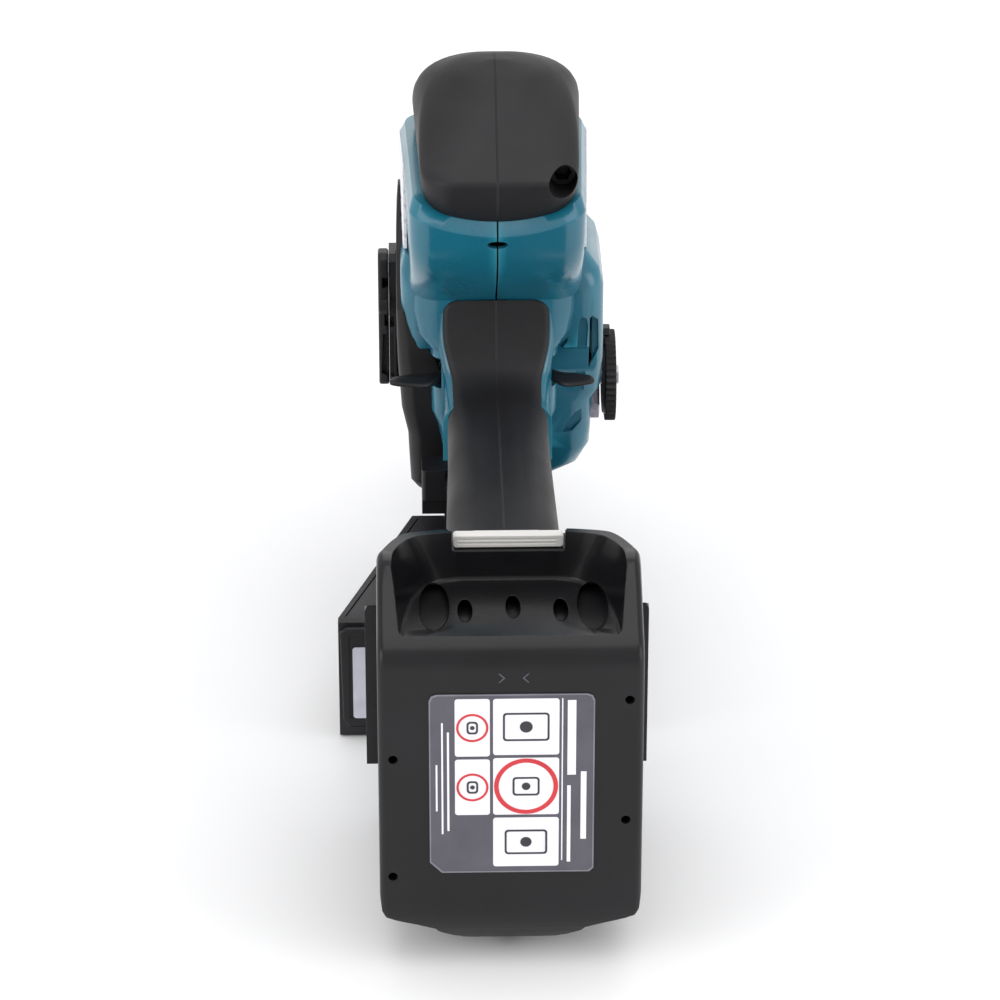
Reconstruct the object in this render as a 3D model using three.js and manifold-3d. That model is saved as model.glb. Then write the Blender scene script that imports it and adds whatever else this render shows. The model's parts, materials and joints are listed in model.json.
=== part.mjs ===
// Cordless biscuit joiner, as an assembly of separate pieces.
// Millimetres. +X is the user's right, +Y is the plunge direction, +Z is up.
// The origin is the middle of the battery's foot, on the surface that the tool stands on.
import * as THREE from "three";
import { mergeVertices } from "three/addons/utils/BufferGeometryUtils.js";
import Module from "manifold-3d";

// ---------------------------------------------------------------- driving dimensions
const GAP = 0.4; // between two pieces that touch on the real tool
const WALL = 2.5; // thickness of the moulded shells
const ROUND = 20; // facets of a small round piece
const FINE = 36; // facets of a large round piece

const battery = { halfX: 37.2, back: -24, front: 20, height: 114, footRadius: 20 };
const rail = { headHalf: 31, neckHalf: 27, back: 20.4, front: 38, low: 24, high: 106 };
rail.grooveBack = 26;
rail.grooveFront = 31;
const holder = { halfX: 41, back: 26.8, front: 66, low: 20, shoulder: 76, high: 95, neckHalf: 28 };
const handle = { back: 66.4, skin: 2.2 };
const motor = { y: 202.5, radius: 25, low: 124.5, high: 146.8 };
motor.shaftRadius = 2.5;
motor.shaftLow = 99.5;
motor.shaftHigh = 157;
const gears = { module: 1, pinionTeeth: 11, wheelTeeth: 22, low: 100, high: 106.5 };
const spindle = { radius: 4, low: 72, high: 112 };
const cutter = { radius: 28, low: 78, high: 82, teeth: 8 };
const rod = { x: 17, z: 62, radius: 4, back: 213 };
const face = { halfX: 30, back: 248, front: 255, low: 52, high: 92 };
const fence = { pivotY: 262, pivotZ: 96, halfX: 30, front: 300, thick: 4, under: 88 };
const dial = { y: 209.5, z: 76.9, radius: 15, low: 36.2, high: 40.4 };
const bin = { left: -50.5, right: 36, back: 110, front: 192, floor: 0, deck: 28, wall: 2 };
const tower = { right: -15, front: 182, top: 40, slantFrom: 113.5, slantTo: -27.2 }; // the bin's raised left part
const cap = { floor: 160.4 };
const flangeRadius = 8.4; // clears the face plate when the carriage is fully plunged

const centreDistance = (gears.module * (gears.pinionTeeth + gears.wheelTeeth)) / 2;
spindle.y = motor.y + centreDistance;

// Horizontal sections of the motor column, from the belly up. "lift" marks the nose's floor.
const columnSections = [
  { z: 40, halfX: 18, back: 194, front: 222, corner: 8 },
  { z: 46, halfX: 25, back: 187, front: 225, corner: 10 },
  { z: 54, halfX: 29, back: 181, front: 225.5, corner: 11 },
  { z: 66, halfX: 30, back: 177, front: 225.5, corner: 11 },
  { z: 92, halfX: 31, back: 173.5, front: 225.5, corner: 11, lift: true },
  { z: 92.6, halfX: 31, back: 173.7, front: 233.8, corner: 11, lift: true },
  { z: 117, halfX: 30.5, back: 182.5, front: 233.8, corner: 11 },
  { z: 128, halfX: 30, back: 170, front: 234, corner: 11 },
  { z: 139, halfX: 29.5, back: 157, front: 234, corner: 10 },
  { z: 160, halfX: 29.5, back: 156.5, front: 234, corner: 10 },
];

// Upright sections of the handle, from the battery holder forward.
const handleSections = [
  { y: handle.back, halfX: 17, low: 57, high: 94, corner: 9 },
  { y: 95, halfX: 16, low: 57, high: 94.5, corner: 9 },
  { y: 150, halfX: 15.5, low: 56, high: 93.5, corner: 9 },
  { y: 185, halfX: 15.5, low: 56, high: 93, corner: 9 },
];

// Horizontal sections of the rubber cap.
const capSections = [
  { z: cap.floor, halfX: 26.5, back: 156, front: 232, corner: 14 },
  { z: 168, halfX: 27, back: 153, front: 234, corner: 15 },
  { z: 178, halfX: 26, back: 160, front: 231, corner: 16 },
  { z: 186, halfX: 22.5, back: 172, front: 225, corner: 16 },
  { z: 191, halfX: 16, back: 185, front: 217, corner: 13 },
  { z: 193, halfX: 9, back: 193, front: 208, corner: 7 },
];

// ---------------------------------------------------------------- solids
const wasm = await Module();
wasm.setup();

function solid(geometry) {
  const bare = geometry.index ? geometry.toNonIndexed() : geometry.clone();
  bare.deleteAttribute("normal");
  bare.deleteAttribute("uv");
  const merged = mergeVertices(bare, 1e-3);
  return new wasm.Manifold(
    new wasm.Mesh({
      numProp: 3,
      vertProperties: merged.attributes.position.array,
      triVerts: new Uint32Array(merged.index.array),
    }),
  );
}

function geometryOf(made) {
  const mesh = made.getMesh();
  const geometry = new THREE.BufferGeometry();
  const places = new Float32Array(mesh.numVert * 3);
  for (let i = 0; i < mesh.numVert; i++) {
    places.set(mesh.vertProperties.subarray(i * mesh.numProp, i * mesh.numProp + 3), i * 3);
  }
  geometry.setAttribute("position", new THREE.BufferAttribute(places, 3));
  geometry.setIndex(new THREE.BufferAttribute(mesh.triVerts, 1));
  const flat = geometry.toNonIndexed();
  flat.computeVertexNormals();
  return flat;
}

const join = (...solids) => solids.reduce((a, b) => a.add(b));
const cut = (body, ...tools) => tools.reduce((a, b) => a.subtract(b), body);
const mirrored = (made) => made.mirror([1, 0, 0]);

const X = new THREE.Vector3(1, 0, 0);
const Y = new THREE.Vector3(0, 1, 0);
const Z = new THREE.Vector3(0, 0, 1);

// An outline pushed out along an axis: in (y, z) for "x", in (x, z) for "y", in (x, y) for "z".
function prism(axis, shape, from, to, facets = ROUND) {
  const geometry = new THREE.ExtrudeGeometry(shape, {
    depth: to - from,
    bevelEnabled: false,
    curveSegments: facets,
  });
  const turn = new THREE.Matrix4();
  if (axis === "x") turn.makeBasis(Y, Z, X).setPosition(from, 0, 0);
  if (axis === "y") turn.makeBasis(X, Z, Y.clone().negate()).setPosition(0, to, 0);
  if (axis === "z") turn.makeBasis(X, Y, Z).setPosition(0, 0, from);
  return solid(geometry.applyMatrix4(turn));
}

const outline = (points) => new THREE.Shape(points.map(([u, v]) => new THREE.Vector2(u, v)));

function box(x, y, z) {
  const shape = outline([
    [x[0], y[0]],
    [x[1], y[0]],
    [x[1], y[1]],
    [x[0], y[1]],
  ]);
  return prism("z", shape, z[0], z[1]);
}

// A rectangle with round corners, as a shape.
function roundedRectangle(u, v, corner) {
  const shape = new THREE.Shape();
  shape.absarc(u[1] - corner, v[0] + corner, corner, -Math.PI / 2, 0);
  shape.absarc(u[1] - corner, v[1] - corner, corner, 0, Math.PI / 2);
  shape.absarc(u[0] + corner, v[1] - corner, corner, Math.PI / 2, Math.PI);
  shape.absarc(u[0] + corner, v[0] + corner, corner, Math.PI, 1.5 * Math.PI);
  return shape;
}

const hole = (centre, radius) =>
  new THREE.Path().absarc(centre[0], centre[1], radius, 0, 2 * Math.PI, true);

function circle(centre, radius, bore = 0) {
  const shape = new THREE.Shape();
  shape.absarc(centre[0], centre[1], radius, 0, 2 * Math.PI);
  if (bore > 0) shape.holes.push(hole(centre, bore));
  return shape;
}

const disc = (axis, centre, radius, from, to, bore = 0, facets = ROUND) =>
  prism(axis, circle(centre, radius, bore), from, to, facets / 2);

// A closed ring of points on a rounded rectangle, anticlockwise.
function ring(u, v, corner, steps = 4) {
  const corners = [
    [u[1] - corner, v[0] + corner, -Math.PI / 2],
    [u[1] - corner, v[1] - corner, 0],
    [u[0] + corner, v[1] - corner, Math.PI / 2],
    [u[0] + corner, v[0] + corner, Math.PI],
  ];
  return corners.flatMap(([cu, cv, start]) =>
    Array.from({ length: steps + 1 }, (_, i) => {
      const angle = start + (i / steps) * (Math.PI / 2);
      return [cu + corner * Math.cos(angle), cv + corner * Math.sin(angle)];
    }),
  );
}

// A skin drawn over rings that follow one another along an axis, closed at both ends.
function loft(axis, rings) {
  const place = {
    z: (u, v, w) => [u, v, w],
    y: (u, v, w) => [v, w, u],
  }[axis];
  const points = rings.map(({ at, points }) => points.map(([u, v]) => place(u, v, at)));
  const count = points[0].length;
  const triangles = [];
  for (let i = 0; i + 1 < points.length; i++) {
    for (let j = 0; j < count; j++) {
      const k = (j + 1) % count;
      triangles.push(points[i][j], points[i][k], points[i + 1][k]);
      triangles.push(points[i][j], points[i + 1][k], points[i + 1][j]);
    }
  }
  const [first, last] = [points[0], points[points.length - 1]];
  for (let j = 1; j + 1 < count; j++) {
    triangles.push(first[0], first[j + 1], first[j]);
    triangles.push(last[0], last[j], last[j + 1]);
  }
  const geometry = new THREE.BufferGeometry();
  geometry.setAttribute("position", new THREE.Float32BufferAttribute(triangles.flat(), 3));
  return solid(geometry);
}

// ---------------------------------------------------------------- materials
const paint = (color, roughness, metalness) =>
  new THREE.MeshStandardMaterial({ color, roughness, metalness });
const materials = {
  shell: paint("#1c7d93", 0.4, 0),
  rubber: paint("#3a383b", 0.8, 0),
  black: paint("#232225", 0.5, 0),
  gloss: paint("#19181a", 0.25, 0),
  steel: paint("#b9bcc0", 0.35, 1),
  alloy: paint("#a9a7b4", 0.4, 1),
  brass: paint("#c29b4a", 0.35, 1),
  copper: paint("#b06a3b", 0.4, 1),
  label: paint("#5a5a63", 0.6, 0),
  board: paint("#1f5a38", 0.6, 0),
  button: paint("#d9d9dc", 0.5, 0),
  cell: paint("#3d6fa5", 0.5, 0),
};

// ---------------------------------------------------------------- scene
const tool = new THREE.Group();
tool.name = "biscuit_joiner";

function group(name, parent, x = 0, y = 0, z = 0) {
  const made = new THREE.Group();
  made.name = name;
  parent.add(made);
  const from = parent.userData.place ?? new THREE.Vector3();
  made.userData.place = new THREE.Vector3(x, y, z);
  made.position.subVectors(made.userData.place, from);
  return made;
}

// Adds a solid, given in the tool's frame, as a mesh of a group.
function add(parent, name, made, material) {
  const { x, y, z } = parent.userData.place;
  const mesh = new THREE.Mesh(geometryOf(made).translate(-x, -y, -z), material);
  mesh.name = name;
  parent.add(mesh);
}

const body = group("body", tool);
const rotor = group("rotor", tool, 0, motor.y, 0);
const arbor = group("arbor", tool, 0, spindle.y, 0);
const carriage = group("carriage", tool, 0, face.back, 0);
const fenceSlide = group("fence_slide", carriage, 0, face.front, fence.pivotZ);
const fencePlate = group("fence_tilt", fenceSlide, 0, fence.pivotY, fence.pivotZ);
const clampLever = group("clamp", carriage, 0, 250, 94);
const depthDial = group("depth_stop", tool, 0, dial.y, dial.z);
const triggerGroup = group("trigger_group", tool, 0, 167, 61);
const lockOff = group("lock_off", tool, 0, 182, 93.5);
const spindleLock = group("lock_button", tool, 0, 228, 101);
const pack = group("battery_pack", tool);
const latch = group("battery_latch", pack);
const door = group("bin_door", tool, 0, 108.6, 4);

// ---------------------------------------------------------------- motor column and handle
const columnRings = (inset) =>
  columnSections.map((s, i) => {
    const end = i === 0 ? inset : i === columnSections.length - 1 ? -inset : 0;
    return {
      at: s.z + end + (s.lift ? inset : 0),
      points: ring(
        [-s.halfX + inset, s.halfX - inset],
        [s.back + inset, s.front - inset],
        s.corner - inset,
      ),
    };
  });

const handleRings = (inset, endInset) =>
  handleSections.map((s, i) => ({
    at: s.y + (i === 0 ? endInset : 0),
    points: ring([s.low + inset, s.high - inset], [-s.halfX + inset, s.halfX - inset], s.corner - inset),
  }));

const column = loft("z", columnRings(0));
const columnHollow = loft("z", columnRings(WALL));
const grip = loft("y", handleRings(0, 0));
const gripCore = loft("y", handleRings(handle.skin + 0.2, 0.2));
const gripHollow = loft("y", handleRings(handle.skin + 0.2 + WALL, WALL));

// The gear bulge on the right, with its inside.
const bulgeOutline = (inset) =>
  roundedRectangle([183 + inset, 221 - inset], [58 + inset, 134 - inset], 14 - inset);
const bulge = join(
  prism("x", bulgeOutline(0), 20, 33),
  prism("x", bulgeOutline(1.6), 33, 34.6),
);
const bulgeHollow = prism("x", bulgeOutline(WALL), 20, 32);

function ventSlots() {
  const slots = [188, 197].map((y) => box([30, 36], [y, y + 4.5], [90, 112]));
  const leaf = disc("x", [196, 70], 5.5, 30, 36).intersect(disc("x", [202, 70], 5.5, 30, 36));
  const fanSlots = [190, 197, 204, 211].flatMap((y) => [
    box([26, 31], [y, y + 3], [147, 154]),
    box([-31, -26], [y, y + 3], [147, 154]),
  ]);
  return join(...slots, leaf, ...fanSlots);
}

function housing() {
  const lockSlot = box([17.5, 34], [166, 187], [86.5, 98]);
  const rodHole = disc("y", [rod.x, rod.z], rod.radius + GAP, 214, 232);
  const shell = cut(
    join(column, gripCore, bulge),
    columnHollow,
    gripHollow,
    bulgeHollow,
    box([-cutter.radius - 0.8, cutter.radius + 0.8], [188, 231], [72, 87]),
    rodHole,
    mirrored(rodHole),
    lockSlot,
    mirrored(lockSlot),
    box([-8.8, 8.8], [140, 172], [50, 62]),
    box([-22.5, -17], [174, 185], [54.5, 60.5]),
    disc("x", [dial.y, dial.z], 4.4, 28, 36),
    disc("x", [228, 101], 4.4, 22, 36),
    ventSlots(),
  );
  const seam = GAP / 2;
  const right = shell.intersect(box([seam, 60], [0, 300], [0, 220]));
  const left = shell.intersect(box([-60, -seam], [0, 300], [0, 220]));
  add(body, "housing_left", left, materials.shell);
  add(body, "housing_right", right, materials.shell);
}

// Soft grip: a saddle over the handle, with a tongue up the back of the column.
function overmould() {
  const band = outline([
    [158, 91.9],
    [171.5, 91.9],
    [180, 116.5],
    [179.5, 118],
    [175.5, 117],
    [166, 96],
  ]);
  const saddle = cut(
    join(grip.intersect(box([-40, 40], [60, 172.6], [64, 120])), prism("x", band, -15, 15)),
    loft("y", handleRings(handle.skin, -1)),
    loft("z", columnRings(-GAP)),
    box([17.5, 34], [160, 187], [86.5, 98]),
    box([-34, -17.5], [160, 187], [86.5, 98]),
  );
  add(body, "grip_overmould", saddle, materials.rubber);
}

function bumperCap() {
  const rings = (inset, floor, ceiling) =>
    capSections
      .filter((s) => s.z <= ceiling)
      .map((s, i) => ({
        at: s.z - (i === 0 ? floor : 0),
        points: ring(
          [-s.halfX + inset, s.halfX - inset],
          [s.back + inset, s.front - inset],
          s.corner - inset,
        ),
      }));
  const keyHole = new THREE.CylinderGeometry(3.1, 3.1, 24, 12);
  keyHole.translate(19.5, 160, 169);
  const shell = cut(loft("z", rings(0, 0, 200)), loft("z", rings(7, 1, 178)), solid(keyHole));
  add(body, "bumper_cap", shell, materials.rubber);
}

// Black panel that closes the left side of the column.
function sideCover() {
  const profile = outline([
    [186, 52],
    [222, 50],
    [226, 56],
    [227.5, 96],
    [228, 150],
    [222, 156],
    [186, 156],
    [181, 150],
    [184, 120],
    [180, 96],
    [182, 60],
  ]);
  add(body, "side_cover", prism("x", profile, -33.6, -31.4), materials.black);
}

// ---------------------------------------------------------------- battery holder
function batteryHolder() {
  const channel = outline([
    [-holder.halfX, holder.back],
    [-rail.neckHalf - 0.8, holder.back],
    [-rail.neckHalf - 0.8, rail.grooveFront - 0.8],
    [-rail.headHalf - 0.8, rail.grooveFront - 0.8],
    [-rail.headHalf - 0.8, rail.front + 0.8],
    [rail.headHalf + 0.8, rail.front + 0.8],
    [rail.headHalf + 0.8, rail.grooveFront - 0.8],
    [rail.neckHalf + 0.8, rail.grooveFront - 0.8],
    [rail.neckHalf + 0.8, holder.back],
    [holder.halfX, holder.back],
    [holder.halfX, holder.front - 4],
    [holder.halfX - 4, holder.front],
    [-holder.halfX + 4, holder.front],
    [-holder.halfX, holder.front - 4],
  ]);
  const neck = box([-holder.neckHalf, holder.neckHalf], [44, holder.front], [60, holder.high]);
  const floor = box(
    [-holder.halfX, holder.halfX],
    [holder.back, holder.front - 4],
    [holder.low, holder.low + 3.4],
  );
  const pocket = box([-18, 18], [rail.front, 50.4], [28, 60]);
  const channelled = prism("z", channel, holder.low, holder.shoulder);
  add(body, "battery_mount", cut(join(channelled, neck, floor), pocket), materials.black);
  const blade = box([12.4, 13.6], [34, 42], [32, 52]);
  const block = box([-17.6, 17.6], [39.4, 50], [28.4, 59.6]);
  add(body, "terminal_block", join(block, blade, mirrored(blade)), materials.copper);
}

// ---------------------------------------------------------------- electrics in the handle
function electrics() {
  const fins = [-8, -3.4, 1.2, 5.8].map((x) => box([x, x + 1.8], [84, 112], [68, 74]));
  const plate = box([-9.5, 9.5], [80, 118], [66, 68.2]);
  add(body, "controller_board", join(plate, ...fins), materials.board);
  const plunger = box([-2.5, 2.5], [150, 156], [66.3, 68]);
  add(body, "switch_body", join(box([-8.5, 8.5], [136, 164], [67, 84]), plunger), materials.black);
}

// ---------------------------------------------------------------- motor
function motorParts() {
  const at = [0, motor.y];
  const bore = motor.shaftRadius + 0.3;
  const stator = disc("z", at, motor.radius, motor.low, motor.high, 15.2, FINE);
  add(body, "motor_stator", stator, materials.copper);
  add(body, "motor_bearing_top", disc("z", at, 7, 153.8, 157, bore), materials.steel);
  add(body, "motor_bearing_low", disc("z", at, 8, 108.4, 113, bore), materials.steel);
  const core = disc("z", at, 14.6, motor.low + 1, motor.high - 1, bore, FINE);
  const shaft = disc("z", at, motor.shaftRadius, motor.shaftLow, motor.shaftHigh);
  add(rotor, "rotor_core", core, materials.steel);
  add(rotor, "motor_shaft", shaft, materials.steel);
  const hub = disc("z", at, 8, 147.4, 153.2, bore);
  const blades = Array.from({ length: 9 }, (_, i) => {
    const angle = (i / 9) * 2 * Math.PI;
    const blade = new THREE.BoxGeometry(16, 1.6, 4.6);
    blade.translate(14, 0, 150.8).rotateZ(angle).translate(0, motor.y, 0);
    return solid(blade);
  });
  const plate = disc("z", at, 22, 147.4, 149, bore, FINE);
  add(rotor, "cooling_fan", join(hub, plate, ...blades), materials.black);
}

// A gear whose first tooth points along "phase".
function gear(teeth, centre, phase, bore) {
  const step = (2 * Math.PI) / teeth;
  const pitch = (gears.module * teeth) / 2;
  const flanks = [
    [pitch - 1.15 * gears.module, 0.33],
    [pitch, 0.21],
    [pitch + 0.8 * gears.module, 0.1],
  ];
  const points = [];
  for (let i = 0; i < teeth; i++) {
    const middle = phase + i * step;
    const rising = flanks.map(([r, half]) => [r, middle - half * step]);
    const falling = flanks.map(([r, half]) => [r, middle + half * step]).reverse();
    for (const [r, angle] of [...rising, ...falling]) {
      points.push([centre[0] + r * Math.cos(angle), centre[1] + r * Math.sin(angle)]);
    }
  }
  const shape = outline(points);
  shape.holes.push(hole(centre, bore));
  return prism("z", shape, gears.low, gears.high, 10);
}

function gearTrain() {
  const clearance = 0.3;
  const meshing = Math.PI / 2;
  const halfTooth = Math.PI / gears.wheelTeeth;
  const pinion = gear(gears.pinionTeeth, [0, motor.y], meshing, motor.shaftRadius + clearance);
  add(rotor, "pinion", pinion, materials.steel);
  add(
    arbor,
    "spur_gear",
    gear(gears.wheelTeeth, [0, spindle.y], -meshing + halfTooth, spindle.radius + clearance),
    materials.steel,
  );
  const shaft = disc("z", [0, spindle.y], spindle.radius, spindle.low, spindle.high);
  add(arbor, "spindle_shaft", shaft, materials.steel);
  add(
    body,
    "spindle_bearing_top",
    disc("z", [0, spindle.y], 7.5, 108.4, 112.6, spindle.radius + clearance),
    materials.steel,
  );
  add(
    body,
    "spindle_bearing_low",
    disc("z", [0, spindle.y], 8, 95.6, 98.8, spindle.radius + clearance),
    materials.steel,
  );
  const upper = cut(
    box([-21, 21], [186, 230], [108.6, 112.4]),
    disc("z", [0, motor.y], 8.3, 100, 120),
    disc("z", [0, spindle.y], 7.8, 100, 120),
  );
  const lower = cut(
    box([-21, 21], [188, 229.5], [95.8, 98.6]),
    disc("z", [0, spindle.y], 8.3, 90, 100),
  );
  add(body, "motor_plate", upper, materials.alloy);
  add(body, "gear_plate", lower, materials.alloy);
}

// ---------------------------------------------------------------- cutter on its arbor
function cutterParts() {
  const at = [0, spindle.y];
  const bore = spindle.radius + 0.3;
  const points = [];
  const step = (2 * Math.PI) / cutter.teeth;
  for (let i = 0; i < cutter.teeth; i++) {
    const tooth = [
      [cutter.radius, 0],
      [cutter.radius - 1, 0.16],
      [cutter.radius - 4, 0.5],
      [cutter.radius - 4.5, 0.8],
      [cutter.radius - 7, 0.93],
    ];
    for (const [r, part] of tooth) {
      const angle = (i + part) * step;
      points.push([r * Math.cos(angle), spindle.y + r * Math.sin(angle)]);
    }
  }
  const shape = outline(points);
  shape.holes.push(hole(at, bore));
  add(arbor, "cutter_blade", prism("z", shape, cutter.low, cutter.high, 10), materials.steel);
  add(arbor, "clamp_flange", disc("z", at, flangeRadius, cutter.high + 0.3, 86, bore), materials.steel);
  const nut = outline(
    Array.from({ length: 6 }, (_, i) => {
      const angle = (i * Math.PI) / 3;
      return [8 * Math.cos(angle), spindle.y + 8 * Math.sin(angle)];
    }),
  );
  nut.holes.push(hole(at, bore));
  add(arbor, "arbor_nut", prism("z", nut, 73, cutter.low - 0.3, 10), materials.steel);
}

function lockButton() {
  const head = disc("x", [228, 101], 4, 29, 34.6);
  const pin = disc("x", [228, 101], 1.8, 17, 29.2, 0, 12);
  add(spindleLock, "spindle_lock", join(head, pin), materials.black);
}

// ---------------------------------------------------------------- plunging carriage
function carriageParts() {
  const front = roundedRectangle([-face.halfX, face.halfX], [face.low, face.high], 4);
  const plate = cut(
    prism("y", front, face.back, face.front, 4),
    box([-27.6, 27.6], [240, 260], [76, 84]),
  );
  add(carriage, "face_plate", plate, materials.alloy);
  [
    ["left", -1],
    ["right", 1],
  ].forEach(([side, sign]) => {
    const centre = [sign * rod.x, rod.z];
    add(
      carriage,
      "guide_rod_" + side,
      disc("y", centre, rod.radius, rod.back, face.back - GAP, 0, 16),
      materials.steel,
    );
    const bushing = disc("y", centre, 6.2, 213.6, 220.8, rod.radius + 0.3, 16);
    add(body, "rod_bushing_" + side, bushing, materials.brass);
    const pad = roundedRectangle([sign * 19 - 6, sign * 19 + 6], [55, 72], 2);
    add(
      carriage,
      "anti_slip_pad_" + side,
      prism("y", pad, face.front + 0.3, face.front + 1.6, 3),
      materials.rubber,
    );
    const coil = spring(sign * rod.x, rod.z, 186, rod.back - GAP);
    add(body, "plunge_spring_" + side, coil, materials.steel);
  });
  const arm = outline([
    [216, 45],
    [247, 45],
    [254.6, 50],
    [254.6, 60],
    [247, 59],
    [216, 57],
    [213, 51],
  ]);
  const foot = box([30.3, 32.2], [249, 254.6], [54, 59.6]);
  add(carriage, "carriage_arm", join(prism("x", arm, 32, 35.6), foot), materials.alloy);
  const block = outline([
    [249, 57],
    [254.6, 57],
    [260, 62],
    [260, 100],
    [249, 100],
  ]);
  add(carriage, "clamp_block", prism("x", block, -34.2, -30.4), materials.black);
}

class Helix extends THREE.Curve {
  constructor(centre, radius, turns, length) {
    super();
    Object.assign(this, { centre, radius, turns, length });
  }

  getPoint(t, target = new THREE.Vector3()) {
    const angle = 2 * Math.PI * this.turns * t;
    return target.set(
      this.centre.x + this.radius * Math.cos(angle),
      this.centre.y + this.length * t,
      this.centre.z + this.radius * Math.sin(angle),
    );
  }
}

function spring(x, z, from, to) {
  const wire = 0.6;
  const turns = 6;
  const path = new Helix(new THREE.Vector3(x, from + wire, z), 3, turns, to - from - 2 * wire);
  const section = new THREE.Shape().absarc(0, 0, wire, 0, 2 * Math.PI);
  const settings = { steps: turns * 9, curveSegments: 3, extrudePath: path };
  return solid(new THREE.ExtrudeGeometry(section, settings));
}

// Rotary lever at the left that clamps the fence's height, ribbed for the thumb.
function clampLeverParts() {
  const paddle = outline([
    [246, 56],
    [253, 56],
    [255, 62],
    [255.5, 86],
    [258, 92],
    [257, 99],
    [252, 103],
    [246, 102],
    [242.5, 96],
    [243, 88],
    [245, 84],
  ]);
  const ribs = Array.from({ length: 7 }, (_, i) => {
    const low = 58.4 + i * 3.6;
    return box([-38.6, -37.4], [245.8, 254], [low, low + 1.8]);
  });
  add(clampLever, "clamp_lever", join(prism("x", paddle, -38, -34.6), ...ribs), materials.black);
}

// ---------------------------------------------------------------- fence
function fenceParts() {
  const riserFront = 258.6;
  const ear = box([27.4, fence.halfX], [256.4, 265], [fence.pivotZ - 5, fence.pivotZ + 5]);
  const riser = box([-fence.halfX, fence.halfX], [face.front + GAP, riserFront], [85.2, 112]);
  const runner = box([face.halfX + GAP, 32.8], [253.2, riserFront], [62, 100]);
  const runnerFoot = box([28, 32.8], [face.front + GAP, riserFront], [94, 100]);
  const pinHole = disc("x", [fence.pivotY, fence.pivotZ], 2.3, -32, 32, 0, 12);
  const bracket = cut(join(riser, ear, mirrored(ear), runner, runnerFoot), pinHole);
  const pin = disc("x", [fence.pivotY, fence.pivotZ], 2, -30.6, 30.6, 0, 12);
  add(fenceSlide, "fence_bracket", bracket, materials.alloy);
  add(fenceSlide, "fence_pin", pin, materials.steel);
  const eye = disc("x", [fence.pivotY, fence.pivotZ], 3, 21, 27);
  const lug = join(box([21, 27], [259.6, 266], [fence.under, fence.pivotZ]), eye);
  const plate = box([-27, 27], [259.6, fence.front], [fence.under, fence.under + fence.thick]);
  add(fencePlate, "fence_plate", cut(join(plate, lug, mirrored(lug)), pinHole), materials.alloy);
}

// ---------------------------------------------------------------- depth dial
function depthDialParts() {
  const at = [dial.y, dial.z];
  const knurls = 30;
  const points = Array.from({ length: knurls * 2 }, (_, i) => {
    const r = dial.radius - (i % 2) * 0.8;
    const angle = (i * Math.PI) / knurls;
    return [dial.y + r * Math.cos(angle), dial.z + r * Math.sin(angle)];
  });
  const wheel = prism("x", outline(points), dial.low, dial.high);
  const bore = disc("x", at, 3.3, 30, 50);
  add(depthDial, "depth_dial", cut(wheel, bore), materials.black);
  add(depthDial, "dial_shaft", disc("x", at, 3, 28.4, dial.high), materials.steel);
  const cam = new THREE.Shape();
  cam.absarc(dial.y, dial.z, 7.6, 0, 2.2);
  cam.absarc(dial.y, dial.z, 6.5, 2.2, 4.3);
  cam.absarc(dial.y, dial.z, 5, 4.3, 2 * Math.PI);
  cam.holes.push(hole(at, 3.3));
  add(depthDial, "depth_cam", prism("x", cam, 28.8, 31.4, 8), materials.brass);
}

// ---------------------------------------------------------------- hand controls
function controls() {
  const paddle = outline([
    [145, 60.5],
    [146, 50],
    [148.5, 46],
    [151, 46.5],
    [151.5, 52],
    [157, 58],
    [169, 58.5],
    [169, 63.4],
    [147, 63.2],
  ]);
  const pivot = disc("x", [167, 61], 1.4, -9, 9);
  add(triggerGroup, "trigger", cut(prism("x", paddle, -7.6, 7.6), pivot), materials.black);
  const tip = disc("z", [31, 168.9], 2.5, 91.2, 95.4);
  const horn = join(box([18.6, 31], [166.4, 184], [91.2, 95.4]), tip);
  const bar = box([-19, 19], [180, 184], [91.2, 95.4]);
  add(lockOff, "lock_off_lever", join(bar, horn, mirrored(horn)), materials.black);
}

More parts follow.
